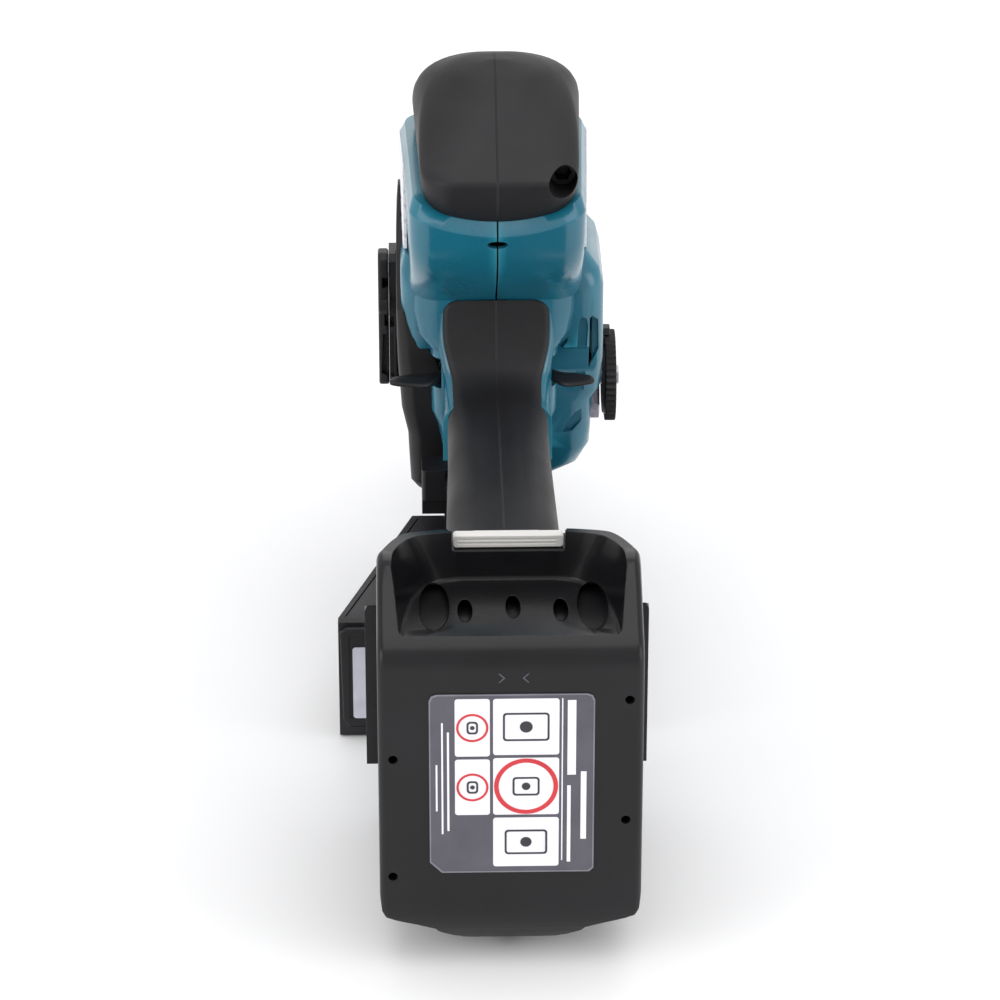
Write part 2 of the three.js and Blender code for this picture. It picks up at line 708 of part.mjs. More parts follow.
// ---------------------------------------------------------------- chip chute and dust box
function chipParts() {
  const elbow = cut(
    join(box([-24, -15.5], [166, 176.6], [48.2, 64]), box([-17, -8.6], [169.6, 177], [tower.top + GAP, 54])),
    box([-22.4, -17.1], [167.6, 175], [50, 62]),
    box([-22.4, -17.1], [174, 178], [54.6, 60.4]),
    box([-20, -10], [171, 175], [50, 53]),
    box([-15.6, -10], [171, 175.6], [38, 53]),
  );
  add(body, "chip_chute", elbow, materials.black);

  const front = outline([
    [bin.left, bin.floor],
    [bin.right, bin.floor],
    [bin.right, bin.deck],
    [tower.right, bin.deck],
    [tower.right, tower.top],
    [bin.left, tower.top],
  ]);
  const inside = outline([
    [bin.left + bin.wall, bin.floor + 3],
    [bin.right - bin.wall, bin.floor + 3],
    [bin.right - bin.wall, bin.deck - bin.wall],
    [tower.right - bin.wall, bin.deck - bin.wall],
    [tower.right - bin.wall, tower.top - bin.wall],
    [bin.left + bin.wall, tower.top - bin.wall],
  ]);
  // seen from above, the left wall runs in towards the front
  const slant = (wall) =>
    prism(
      "z",
      outline([
        [-60, tower.slantFrom],
        [bin.left + wall, tower.slantFrom],
        [tower.slantTo + wall, tower.front],
        [tower.slantTo + wall, 200],
        [-60, 200],
      ]),
      -1,
      tower.top + 1,
    );
  const beyond = (wall) => box([-60, 0], [tower.front - wall, 200], [bin.deck - wall, 60]);
  const porch = box([tower.right - 1, -6.4], [166, tower.front], [bin.deck - 1, tower.top]);
  const porchInside = box([-18, -8.4], [168, tower.front - bin.wall], [bin.deck - 4, tower.top - bin.wall]);
  const shell = cut(join(prism("y", front, bin.back, bin.front), porch), slant(0), beyond(0));
  const hollow = cut(
    prism("y", inside, bin.back - 5, bin.front - bin.wall),
    slant(bin.wall * 1.06),
    beyond(bin.wall),
  );
  const neck = box([-12, 12], [188, 214], [bin.deck - 4, 39.6]);
  const inlet = box([-15.6, -10], [171, 175.6], [36, 42]);
  add(body, "dust_box", cut(join(shell, neck), hollow, porchInside, inlet), materials.black);

  const doorOutline = outline([
    [bin.left + 0.4, 4.2],
    [bin.right - 0.4, 4.2],
    [bin.right - 0.4, bin.deck - 0.6],
    [tower.right - 0.4, bin.deck - 0.6],
    [tower.right - 0.4, tower.top - 0.6],
    [bin.left + 0.4, tower.top - 0.6],
  ]);
  add(door, "dust_door", prism("y", doorOutline, 107.6, bin.back - GAP), materials.black);
  const sticker = roundedRectangle([-47.6, -38], [8, 30], 1);
  add(door, "door_sticker", prism("y", sticker, 106.9, 107.3, 3), materials.button);
}

// ---------------------------------------------------------------- battery
function batteryParts() {
  const { halfX, back, front, height, footRadius } = battery;
  const side = new THREE.Shape();
  side.moveTo(front, 0);
  side.lineTo(front, height);
  side.lineTo(6, height);
  side.lineTo(back + 3, 107);
  side.lineTo(back, 104);
  side.lineTo(back, footRadius);
  side.absarc(back + footRadius, footRadius, footRadius, Math.PI, 1.5 * Math.PI);
  const foot = outline([
    [-halfX, 8],
    [-34, 3.4],
    [-20, 0],
    [20, 0],
    [34, 3.4],
    [halfX, 8],
    [halfX, height],
    [-halfX, height],
  ]);
  const recess = outline([
    [back - 2, 100],
    [-4, 104],
    [2, 104],
    [8, 112],
    [8, 120],
    [back - 2, 120],
  ]);
  const room = outline([
    [17.4, 5.6],
    [17.4, 99],
    [-21.6, 99],
    [-21.6, 16],
    [-20.6, 12.6],
    [-18.4, 9],
    [-14, 5.6],
  ]);
  const inside = prism("x", room, -33.6, 33.6);
  const seenFromBehind = prism("y", foot, back - 1, front + 1);
  const outside = prism("x", side, -halfX, halfX, 6).intersect(seenFromBehind);
  const wireHole = box([-12, 12], [10, front + 2], [60, 80]);
  const buttonRoom = box([-16.8, 16.8], [16.8, front + 1], [106.8, height + 1]);
  const scoop = prism("x", recess, -30, 30);
  add(pack, "battery_case", cut(outside, inside, scoop, wireHole, buttonRoom), materials.gloss);

  const tee = outline([
    [-33, rail.back],
    [33, rail.back],
    [33, rail.grooveBack],
    [rail.neckHalf, rail.grooveBack],
    [rail.neckHalf, rail.grooveFront],
    [rail.headHalf, rail.grooveFront],
    [rail.headHalf, rail.front],
    [-rail.headHalf, rail.front],
    [-rail.headHalf, rail.grooveFront],
    [-rail.neckHalf, rail.grooveFront],
    [-rail.neckHalf, rail.grooveBack],
    [-33, rail.grooveBack],
  ]);
  const slot = box([11.4, 14.6], [32.6, 40], [rail.low - 1, 62]);
  const tongueRoom = box([-10.5, 10.5], [31, 40], [74, rail.high + 1]);
  add(
    pack,
    "battery_rails",
    cut(prism("z", tee, rail.low, rail.high), slot, mirrored(slot), tongueRoom),
    materials.gloss,
  );
  const plate = outline([
    [-19.4, 32],
    [22.2, 32],
    [23.4, 33.2],
    [23.4, 90],
    [-23, 90],
    [-23, 35.6],
  ]);
  add(pack, "battery_label", prism("y", plate, back - 0.8, back - 0.3), materials.label);

  const rows = [-11.5, 7.3];
  const cells = rows.flatMap((y) =>
    [0, 1, 2, 3, 4].map((i) => disc("x", [y, 15.6 + i * 18.4], 9.1, -32.5, 32.5, 0, 12)),
  );
  const bridge = box([-6, 6], [rows[0], rows[1]], [10, 90]);
  add(pack, "cell_pack", join(...cells, bridge), materials.cell);

  const strip = prism("y", roundedRectangle([-16, 16], [107.4, 113.6], 2), 20.6, 33, 3);
  const tongue = box([-9.6, 9.6], [34.5, 40.6], [78, 110]);
  const link = box([-9.6, 9.6], [32.5, 36], [107.4, 110]);
  add(latch, "battery_button", join(strip, tongue, link), materials.button);
}

housing();
overmould();
bumperCap();
sideCover();
batteryHolder();
electrics();
motorParts();
gearTrain();
cutterParts();
lockButton();
carriageParts();
clampLeverParts();
fenceParts();
depthDialParts();
controls();
chipParts();
batteryParts();

export default tool;
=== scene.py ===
"""The looks of a cordless biscuit joiner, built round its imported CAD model.

Lengths are millimetres unless a name says otherwise; MM turns them into Blender's metres.
+X is the user's right, +Y is the plunge direction and +Z is up.
"""

import json
import math

import bmesh
import bpy
from mathutils import Matrix, Vector


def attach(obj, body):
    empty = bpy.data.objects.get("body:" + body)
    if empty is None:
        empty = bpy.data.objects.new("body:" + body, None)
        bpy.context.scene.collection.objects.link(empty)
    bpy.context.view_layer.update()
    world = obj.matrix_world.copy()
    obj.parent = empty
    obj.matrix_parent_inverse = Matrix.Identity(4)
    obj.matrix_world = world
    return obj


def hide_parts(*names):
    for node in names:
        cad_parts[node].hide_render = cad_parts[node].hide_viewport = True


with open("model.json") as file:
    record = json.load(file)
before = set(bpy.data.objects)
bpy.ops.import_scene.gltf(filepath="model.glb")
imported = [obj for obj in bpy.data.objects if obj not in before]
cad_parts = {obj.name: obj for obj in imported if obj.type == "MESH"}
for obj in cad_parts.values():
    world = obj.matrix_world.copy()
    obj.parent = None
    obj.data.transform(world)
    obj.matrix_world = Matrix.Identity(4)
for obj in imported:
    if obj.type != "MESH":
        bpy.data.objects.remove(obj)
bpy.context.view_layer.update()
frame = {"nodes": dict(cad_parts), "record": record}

MM = 0.001
SEAM = 0.25  # half the gap between the two housing shells
WALL = 2.5
SMOOTH_ABOVE = 32  # degrees; a sharper corner stays a crease
MERGE_WITHIN = 2e-6  # metres; points nearer than this become one

# -------------------- driving dimensions
LIP_SAG = 6.2  # how far the cap's rear edge hangs lower in the middle than at its corners
DIAL = (209.5, 76.9, 15)  # y, z, radius
LABEL = (-22.9, 23.4, 32.2, 90)  # x from, x to, z from, z to
BACK = -24  # the battery's label side
CASE_HALF = 37.2  # half the battery's width
CROWN_LOW = 97.6  # where the battery's arched rim starts to reach over its rails
FOOT_ROUND = 23  # radius of the battery's lower rear edge
HEAD_FRONT = 234
TAPER = 0.0013  # how much narrower the head gets for each millimetre towards its rear


# -------------------- shapes
def place(axis, u, v, w):
    """A point of an outline that is pushed out along an axis."""
    return {"x": (w, u, v), "y": (u, w, v), "z": (u, v, w)}[axis]


def new_piece(name, points, faces):
    mesh = bpy.data.meshes.new(name)
    mesh.from_pydata([Vector(p) * MM for p in points], [], faces)
    shape = bmesh.new()
    shape.from_mesh(mesh)
    bmesh.ops.remove_doubles(shape, verts=shape.verts, dist=MERGE_WITHIN)
    bmesh.ops.recalc_face_normals(shape, faces=shape.faces)
    shape.to_mesh(mesh)
    shape.free()
    piece = bpy.data.objects.new(name, mesh)
    bpy.context.scene.collection.objects.link(piece)
    return piece


def loft(name, axis, rings):
    """A skin over rings of (w, points); w is a number, or a function of the ring's own u and v."""
    points = []
    for w, ring in rings:
        points += [place(axis, u, v, w(u, v) if callable(w) else w) for u, v in ring]
    count = len(rings[0][1])
    faces = []
    for i in range(len(rings) - 1):
        for j in range(count):
            k = (j + 1) % count
            faces.append((i * count + j, i * count + k, (i + 1) * count + k, (i + 1) * count + j))
    for w, ring, first in ((*rings[0], 0), (*rings[-1], (len(rings) - 1) * count)):
        end = [first + j for j in range(count)]
        if callable(w):  # an end that isn't flat is closed with a fan round its middle
            u, v = (sum(p[i] for p in ring) / count for i in (0, 1))
            points.append(place(axis, u, v, w(u, v)))
            faces += [(end[j - 1], end[j], len(points) - 1) for j in range(count)]
        else:
            faces.append(tuple(end))
    return new_piece(name, points, faces)


def prism(name, axis, outline, low, high):
    return loft(name, axis, [(low, outline), (high, outline)])


def rounded(u0, u1, v0, v1, corner, steps=6):
    """A rectangle with round corners; corner is one radius, or four from (u1, v0) anticlockwise."""
    radii = corner if isinstance(corner, tuple) else (corner,) * 4
    centres = [
        (u1 - radii[0], v0 + radii[0], -90),
        (u1 - radii[1], v1 - radii[1], 0),
        (u0 + radii[2], v1 - radii[2], 90),
        (u0 + radii[3], v0 + radii[3], 180),
    ]
    ring = []
    for (u, v, start), r in zip(centres, radii):
        for i in range(steps + 1):
            a = math.radians(start + 90 * i / steps)
            ring.append((u + r * math.cos(a), v + r * math.sin(a)))
    return ring


def tapered(ring, share=1.0):
    """A ring seen from above whose sides run in towards the rear."""
    return [(x * (1 - share * TAPER * (HEAD_FRONT - y)), y) for x, y in ring]


def block(name, x, y, z):
    return prism(name, "z", [(x[0], y[0]), (x[1], y[0]), (x[1], y[1]), (x[0], y[1])], z[0], z[1])


def circle(u, v, r, steps=32, squeeze=1.0):
    turn = [2 * math.pi * i / steps for i in range(steps)]
    return [(u + r * math.cos(a), v + r * squeeze * math.sin(a)) for a in turn]


def disc(name, axis, u, v, r, low, high, steps=32):
    return prism(name, axis, circle(u, v, r, steps), low, high)


def lathe(name, axis, u, v, profile, steps=48):
    """A turned piece; profile is pairs of (distance along the axis, radius)."""
    return loft(name, axis, [(w, circle(u, v, r, steps)) for w, r in profile])


def blended(rows, steps):
    """Rows of numbers joined by a smooth curve through all of them."""
    dense = []
    for i in range(len(rows) - 1):
        before, a, b, after = rows[max(i - 1, 0)], rows[i], rows[i + 1], rows[min(i + 2, len(rows) - 1)]
        for step in range(steps):
            t = step / steps
            dense.append(
                tuple(
                    q + 0.5 * t * (s - p + t * (2 * p - 5 * q + 4 * s - r + t * (3 * (q - s) + r - p)))
                    for p, q, s, r in zip(before, a, b, after)
                )
            )
    dense.append(tuple(rows[-1]))
    return dense


def apply(piece):
    graph = bpy.context.evaluated_depsgraph_get()
    made = bpy.data.meshes.new_from_object(piece.evaluated_get(graph))
    piece.modifiers.clear()
    piece.data = made
    return piece


def combine(piece, how, *tools):
    for tool in tools:
        step = piece.modifiers.new(how, "BOOLEAN")
        step.operation = how
        step.solver = "EXACT"
        step.object = tool
        apply(piece)
        bpy.data.objects.remove(tool)
    return piece


def join(piece, *others):
    return combine(piece, "UNION", *others)


def cut(piece, *tools):
    return combine(piece, "DIFFERENCE", *tools)


def keep(piece, tool):
    return combine(piece, "INTERSECT", tool)


def gathered(name, pieces):
    """Puts loose meshes that lie apart into one piece."""
    piece, *others = pieces
    shape = bmesh.new()
    for each in pieces:
        shape.from_mesh(each.data)
    shape.to_mesh(piece.data)
    shape.free()
    for each in others:
        bpy.data.objects.remove(each)
    piece.name = name
    return piece


def twin(piece, name):
    made = piece.copy()
    made.data = piece.data.copy()
    made.name = name
    bpy.context.scene.collection.objects.link(made)
    return made


def turned(piece, y, z, angle):
    """Turns a piece about the line along x through (y, z)."""
    there = Matrix.Translation(Vector((0, y, z)) * MM)
    back = Matrix.Translation(Vector((0, -y, -z)) * MM)
    piece.data.transform(there @ Matrix.Rotation(angle, 4, "X") @ back)
    return piece


def halved(piece, side):
    """Keeps the part of a piece on one side of the middle plane, and closes it there."""
    shape = bmesh.new()
    shape.from_mesh(piece.data)
    found = bmesh.ops.bisect_plane(
        shape,
        geom=shape.verts[:] + shape.edges[:] + shape.faces[:],
        dist=1e-7,
        plane_co=(side * SEAM * MM, 0, 0),
        plane_no=(side, 0, 0),
        clear_inner=True,
    )
    rim = [e for e in found["geom_cut"] if isinstance(e, bmesh.types.BMEdge)]
    bmesh.ops.triangle_fill(shape, use_beauty=True, use_dissolve=True, edges=rim)
    bmesh.ops.recalc_face_normals(shape, faces=shape.faces)
    shape.to_mesh(piece.data)
    shape.free()


def rounded_edges(piece, width, segments=2, angle=SMOOTH_ABOVE):
    bevel = piece.modifiers.new("edges", "BEVEL")
    bevel.width = width * MM
    bevel.segments = segments
    bevel.limit_method = "ANGLE"
    bevel.angle_limit = math.radians(angle)
    bevel.use_clamp_overlap = True
    return piece


def shaded(piece):
    for face in piece.data.polygons:
        face.use_smooth = True
    piece.data.set_sharp_from_angle(angle=math.radians(SMOOTH_ABOVE))
    weighted = piece.modifiers.new("normals", "WEIGHTED_NORMAL")
    weighted.keep_sharp = True


def finished(piece, body, slot, replaces=(), look=None, edge=0.0, segments=2):
    """The last step of every piece: edges, shading, body, and the slot's look or its own."""
    if edge:
        apply(rounded_edges(piece, edge, segments))
    shaded(piece)
    piece.data.materials.clear()
    piece.data.materials.append((look or LOOKS[slot]).material)
    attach(piece, body)
    if replaces:
        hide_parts(*replaces)


# -------------------- materials
class Look:
    """A node material, built in steps round one shader."""

    def __init__(self, name, roughness, metallic=0.0, coat=0.0, gleam=0.5):
        self.material = bpy.data.materials.new(name)
        self.material.use_nodes = True
        self.tree = self.material.node_tree
        self.shader = self.tree.nodes["Principled BSDF"]
        self.shader.inputs["Roughness"].default_value = roughness
        self.shader.inputs["Metallic"].default_value = metallic
        self.shader.inputs["Coat Weight"].default_value = coat
        self.shader.inputs["Coat Roughness"].default_value = 0.12
        self.shader.inputs["Specular IOR Level"].default_value = gleam
        self.place = self.node("ShaderNodeTexCoord").outputs["Object"]
        self.height = None

    def node(self, kind, **settings):
        made = self.tree.nodes.new(kind)
        for key, value in settings.items():
            setattr(made, key, value)
        return made

    def link(self, source, target):
        self.tree.links.new(source, target)

    def noise(self, size, detail=3.0, stretch=(1, 1, 1), offset=0.0):
        """Noise whose features are about size millimetres across."""
        mapping = self.node("ShaderNodeMapping")
        mapping.inputs["Scale"].default_value = stretch
        mapping.inputs["Location"].default_value = (offset, offset, offset)
        self.link(self.place, mapping.inputs["Vector"])
        made = self.node("ShaderNodeTexNoise")
        made.inputs["Scale"].default_value = 1 / (size * MM)
        made.inputs["Detail"].default_value = detail
        self.link(mapping.outputs["Vector"], made.inputs["Vector"])
        return made.outputs["Fac"]

    def ranged(self, source, low, high, start=0.3, end=0.7):
        made = self.node("ShaderNodeMapRange")
        for name, value in zip(("From Min", "From Max", "To Min", "To Max"), (start, end, low, high)):
            made.inputs[name].default_value = value
        self.link(source, made.inputs["Value"])
        return made.outputs["Result"]

    def mixed(self, factor, a, b):
        made = self.node("ShaderNodeMix", data_type="RGBA")
        self.link(factor, made.inputs["Factor"])
        for socket, value in zip((made.inputs["A"], made.inputs["B"]), (a, b)):
            if isinstance(value, tuple):
                socket.default_value = (*value, 1)
            else:
                self.link(value, socket)
        return made.outputs["Result"]

    def math(self, how, a, b=0.0):
        made = self.node("ShaderNodeMath", operation=how)
        for socket, value in zip(made.inputs, (a, b)):
            if isinstance(value, (int, float)):
                socket.default_value = value
            else:
                self.link(value, socket)
        return made.outputs[0]

    def colour(self, source):
        self.link(source, self.shader.inputs["Base Color"])

    def rough(self, source):
        self.link(source, self.shader.inputs["Roughness"])

    def bump(self, source, depth, strength=0.5):
        """Relief of depth millimetres, added to the relief so far."""
        made = self.node("ShaderNodeBump")
        made.inputs["Strength"].default_value = strength
        made.inputs["Distance"].default_value = depth * MM
        self.link(source, made.inputs["Height"])
        if self.height:
            self.link(self.height, made.inputs["Normal"])
        self.height = made.outputs["Normal"]
        self.link(self.height, self.shader.inputs["Normal"])

    def soft_edges(self, radius):
        made = self.node("ShaderNodeBevel", samples=4)
        made.inputs["Radius"].default_value = radius * MM
        self.height = made.outputs["Normal"]

    def painted_edge_highlight(self, base, highlight_colour, amount):
        """Lighter where the surface turns a sharp corner: a painted highlight along the edges."""
        pointed = self.node("ShaderNodeNewGeometry").outputs["Pointiness"]
        return self.mixed(self.ranged(pointed, 0, amount, 0.53, 0.62), base, highlight_colour)


def rgb(code):
    """Linear colour from a web colour."""
    values = [int(code[i : i + 2], 16) / 255 for i in (0, 2, 4)]
    return tuple(v / 12.92 if v <= 0.04045 else ((v + 0.055) / 1.055) ** 2.4 for v in values)


def plastic_look(name, dark, light, rough, grain, depth, coat=0.0, highlight_colour=None, edges=0.3, gleam=0.5):
    """Moulded plastic or rubber: soft tone changes, uneven gloss, fine texture of the mould, and a painted
    highlight on sharp edges when a highlight colour is given.
    """
    look = Look(name, sum(rough) / 2, coat=coat, gleam=gleam)
    look.soft_edges(edges)
    tone = look.mixed(look.ranged(look.noise(38, 4), 0, 1), rgb(dark), rgb(light))
    # Painted highlight: sharp edges are mixed towards the paler highlight colour.
    if highlight_colour:
        tone = look.painted_edge_highlight(tone, rgb(highlight_colour), 0.5)
    look.colour(tone)
    look.rough(look.ranged(look.noise(22, 5, offset=3.0), *rough))
    look.bump(look.noise(grain, 2), depth, 0.6)
    look.bump(look.noise(14, 2, offset=7.0), 0.05, 0.25)
    return look


def seam_ridge(look, width=0.35):
    """A fine moulding line along the middle plane."""
    split = look.node("ShaderNodeSeparateXYZ")
    look.link(look.place, split.inputs[0])
    away = look.math("ABSOLUTE", split.outputs["X"])
    ridge = look.ranged(away, 1, 0, 0, width * MM)
    look.bump(ridge, 0.25, 0.8)


def metal_look(name, dark, light, rough, stretch):
    """Brushed or cast metal: streaked gloss and tone."""
    look = Look(name, sum(rough) / 2, metallic=1.0)
    look.soft_edges(0.15)
    streaks = look.noise(1.6, 4, stretch)
    look.colour(look.mixed(look.ranged(streaks, 0, 1), rgb(dark), rgb(light)))
    look.rough(look.ranged(look.noise(0.9, 3, stretch, 5.0), *rough))
    look.bump(streaks, 0.02, 0.4)
    return look


def gloss_look():
    """Battery plastic: satin on the label side, polished in the recess at the top."""
    look = Look("battery_plastic", 0.3, gleam=0.32)
    look.soft_edges(0.4)
    split = look.node("ShaderNodeSeparateXYZ")
    look.link(look.place, split.inputs[0])
    satin_up_to, polished_from = 0.0975, 0.1055  # metres above the floor
    height = look.ranged(split.outputs["Z"], 0, 1, satin_up_to, polished_from)
    satin = look.ranged(look.noise(30, 4), 0.36, 0.44)
    polish = look.ranged(look.noise(18, 3, offset=2.0), 0.16, 0.24)
    look.colour(look.mixed(look.ranged(look.noise(40, 4), 0, 1), rgb("100f11"), rgb("171619")))
    mix = look.node("ShaderNodeMix", data_type="FLOAT")
    look.link(height, mix.inputs["Factor"])
    look.link(satin, mix.inputs["A"])
    look.link(polish, mix.inputs["B"])
    look.rough(mix.outputs["Result"])
    grain = look.math("MULTIPLY", look.noise(0.35, 2), look.math("SUBTRACT", 1.0, height))
    look.bump(grain, 0.03, 0.5)
    look.bump(look.noise(20, 2, offset=4.0), 0.05, 0.2)
    return look


def flat_print_look(name, dark, light, rough=(0.42, 0.55)):
    """Printed film or ink with a little mottling."""
    look = Look(name, sum(rough) / 2)
    look.colour(look.mixed(look.ranged(look.noise(9, 3), 0, 1), rgb(dark), rgb(light)))
    look.rough(look.ranged(look.noise(5, 3, offset=1.0), *rough))
    look.bump(look.noise(0.8, 2), 0.01, 0.3)
    return look


# The teal's pale 3d9db2 and the lighter edge colours of rubber and black are painted highlights on sharp
# edges.
teal = plastic_look("teal_plastic", "07586e", "0f677d", (0.24, 0.34), 0.5, 0.02, 0.35, "3d9db2", edges=0.45)
rubber = plastic_look(
    "grip_rubber", "141315", "1c1a1d", (0.46, 0.58), 0.42, 0.06, highlight_colour="2c2a2e", gleam=0.34
)
seam_ridge(rubber)
black = plastic_look(
    "black_plastic", "111012", "1a191c", (0.38, 0.5), 0.45, 0.05, highlight_colour="2e2d31", gleam=0.34
)
dark_gloss = gloss_look()
button_look = plastic_look("button_plastic", "cfcdca", "dcdad7", (0.35, 0.45), 0.5, 0.02)
steel = metal_look("brushed_steel", "8f9296", "c4c7ca", (0.22, 0.38), (1, 1, 8))
alloy = metal_look("cast_alloy", "8d8b98", "b3b1bd", (0.32, 0.5), (1, 1, 1))
brass = metal_look("turned_brass", "9c7a35", "caa551", (0.25, 0.4), (8, 1, 1))
copper = metal_look("copper_windings", "8a4d27", "bf7744", (0.3, 0.45), (1, 1, 14))
board_look = plastic_look("circuit_board", "174a2d", "226a42", (0.35, 0.5), 0.8, 0.03)
cell_look = plastic_look("cell_wrap", "2f5f96", "4477ad", (0.25, 0.35), 0.9, 0.02)
label_grey = flat_print_look("label_film", "504f59", "595862")
label_edge = flat_print_look("label_edge", "74737c", "84838c")
label_pale = flat_print_look("label_panels", "eeecf2", "f7f5fa")
label_red = flat_print_look("label_red_ink", "c92c34", "d8383f")
label_dark = flat_print_look("label_dark_ink", "2a292e", "38373d")
sticker_look = flat_print_look("blank_sticker", "b9b9c6", "cfcfdb")
# The look of each material slot.
LOOKS = {"shell": teal, "rubber": rubber, "black": black, "gloss": dark_gloss, "steel": steel}
LOOKS.update({"alloy": alloy, "brass": brass, "copper": copper, "label": label_grey})
LOOKS.update({"board": board_look, "button": button_look, "cell": cell_look})


# -------------------- camera, floor and light
def camera_and_light():
    """Places and lamp sizes are in metres here; the floor is in millimetres."""
    scene = bpy.context.scene
    camera = bpy.data.objects.new("camera", bpy.data.cameras.new("camera"))
    camera.location = (-0.0256, -1.1001, 0.6988)
    camera.rotation_euler = (math.radians(63), 0, math.radians(-1.2))
    camera.data.sensor_width = 36
    camera.data.lens = 160.2
    camera.data.clip_start = 0.05
    camera.data.clip_end = 60
    scene.collection.objects.link(camera)
    scene.camera = camera
    scene.view_settings.view_transform = "Standard"

    floor = block("floor", (-9000, 9000), (-9000, 9000), (-20, -0.6))
    paper = Look("pale_floor", 0.9)
    paper.colour(paper.mixed(paper.noise(900, 2), rgb("f6f6f7"), rgb("fafafb")))
    floor.data.materials.append(paper.material)

    world = bpy.data.worlds.new("studio")
    world.use_nodes = True
    world.node_tree.nodes["Background"].inputs["Color"].default_value = (1, 1, 1, 1)
    world.node_tree.nodes["Background"].inputs["Strength"].default_value = 0.8
    scene.world = world

    lamps = [
        ("top_light", (0.1, -0.1, 1.5), 1.3, 7),
        ("left_light", (-1.3, -0.7, 0.7), 0.9, 7),
        ("right_light", (1.4, -0.5, 0.6), 0.9, 6),
        ("front_light", (0.1, 1.3, 1.0), 1.0, 3),
    ]
    target = Vector((0, 0.1, 0.08))
    for name, spot, size, power in lamps:
        lamp = bpy.data.lights.new(name, "AREA")
        lamp.shape = "SQUARE"
        lamp.size = size
        lamp.energy = power
        stand = bpy.data.objects.new(name, lamp)
        stand.location = spot
        stand.rotation_euler = (target - Vector(spot)).to_track_quat("-Z", "Y").to_euler()
        scene.collection.objects.link(stand)


# -------------------- motor column: two teal shells
def sag(base, amount=LIP_SAG):
    """Height of the edge between the cap and the shells: it hangs lower at the middle of the rear."""

    def height(x, y):
        middle = max(0.0, 1 - (x / 26) ** 2)
        rear = min(1.0, max(0.0, (176 - y) / 16))
        return base - amount * middle * rear

    return height


# From the bottom up: z, left half width, right half width, back, front, corner radius.
head_sections = [
    (97, 20.6, 19.2, 176.4, 222, 5),
    (100.5, 21.2, 19.8, 177, 232, 6),
    (105, 25.2, 23.4, 178.6, 233.8, 7),
    (112, 26.6, 25.6, 180.4, 233.8, 8),
    (117, 27.4, 26.9, 180.8, 233.8, 9),
    (123, 28.2, 28.0, 174, 234, 9),
    (131, 29.0, 28.9, 164.2, 234, 8),
    (139.5, 29.6, 29.6, 157.4, 234, 7),
    (146, 30.0, 30.0, 156.2, 234, 7),
]
neck_sections = [
    (57, 15.6, 15.6, 186, 205, 4),
    (66, 17.8, 16.8, 180, 205, 5),
    (73, 18.6, 17.4, 178, 205, 5),
    (79, 20.6, 19.2, 176.6, 205, 5),
    (92, 20.6, 19.2, 174.6, 205, 5),
    (100.5, 20.6, 19.2, 176.8, 205, 5),
    (104, 20.6, 19.2, 178.4, 205, 5),
]
belly_sections = [
    (40, 12.5, 12.5, 198, 221, 6),
    (44, 18, 15.5, 195, 224, 7),
    (50, 23.5, 20, 191, 225.5, 7),
    (54.5, 26, 26.8, 188.5, 225.5, 7),
    (62, 27.2, 30.2, 185.4, 225.5, 7),
    (68, 27.5, 30.6, 184.8, 225.5, 7),
    (78, 28.6, 31.0, 185.6, 225.5, 7),
    (81.5, 29.0, 33.6, 186, 225.5, 7),
    (92.2, 30.0, 34.4, 184.6, 225.5, 7),
    (92.8, 30.0, 34.4, 184.6, 233.8, 7),
    (118, 30.2, 34.4, 184.6, 233.8, 7),
    (123, 30.2, 33.0, 186.4, 233.8, 7),
    (127.5, 29.0, 29.0, 190, 233.8, 7),
]
# y, half width, bottom, top, corner radius
handle_sections = [
    (66.4, 14.8, 57, 92, 7),
    (95, 14.0, 57, 92, 7),
    (150, 13.4, 56.2, 91, 7),
    (190, 13.4, 56.2, 91, 7),
]


# The edge under the cap: z, half width, back, front, corner radius, sag of the rear edge.
lip_sections = [
    (149.4 + LIP_SAG, 30.2, 155.3, 234, 7, LIP_SAG),
    (150.1 + LIP_SAG, 29.9, 155.5, 233.8, 7, LIP_SAG),
    (153.6 + LIP_SAG, 28.6, 158.3, 232.6, 8, LIP_SAG),
]


def column_rings(sections, inset=0.0, steps=6):
    rings = []
    for i, (z, left, right, back, front, corner) in enumerate(sections):
        end = inset if i == 0 else -inset if i == len(sections) - 1 else 0
        corner = max(corner - inset, 1)
        ring = rounded(-left + inset, right - inset, back + inset, front - inset, corner, steps)
        rings.append((z + end, ring))
    return rings


def dense_rings(rings, steps=24):
    """The same rings with points added along the straight rear edge, so that it can sag."""
    dense = []
    for w, ring in rings:
        (u0, v0), (u1, v1) = ring[-1], ring[0]
        rear = [(u0 + (u1 - u0) * i / steps, v0 + (v1 - v0) * i / steps) for i in range(1, steps)]
        dense.append((w, ring + rear))
    return dense


def head_rings(inset=0.0):
    """The motor's part of the column, with a bevel round the cap's edge."""
    rings = []
    dropped = (150, 30, 30, 156, HEAD_FRONT, 7)  # a last section that only takes the end's inset
    for z, ring in column_rings(head_sections + [dropped], inset, 10)[:-1]:
        rings.append((z, tapered(ring, min(1.0, max(0.0, (z - 112) / 20)))))
    for z, half, back, front, corner, hang in lip_sections:
        ring = rounded(-half + inset, half - inset, back + inset, front - inset, corner - inset, 10)
        rings.append((sag(z - inset, hang), tapered(ring)))
    return dense_rings(rings)


def shell_form(name, inset):
    form = loft(name, "z", head_rings(inset))
    neck = loft("tool_neck", "z", column_rings(neck_sections, inset))
    belly = loft("tool_belly", "z", column_rings(belly_sections, inset))
    rings = []
    for i, (y, half, low, high, corner) in enumerate(handle_sections):
        end = inset if i == 0 else 0
        ring = rounded(-half + inset, half - inset, low + inset, high - inset, corner - inset)
        rings.append((y + end, ring))
    return join(form, neck, belly, loft("tool_handle", "y", rings))


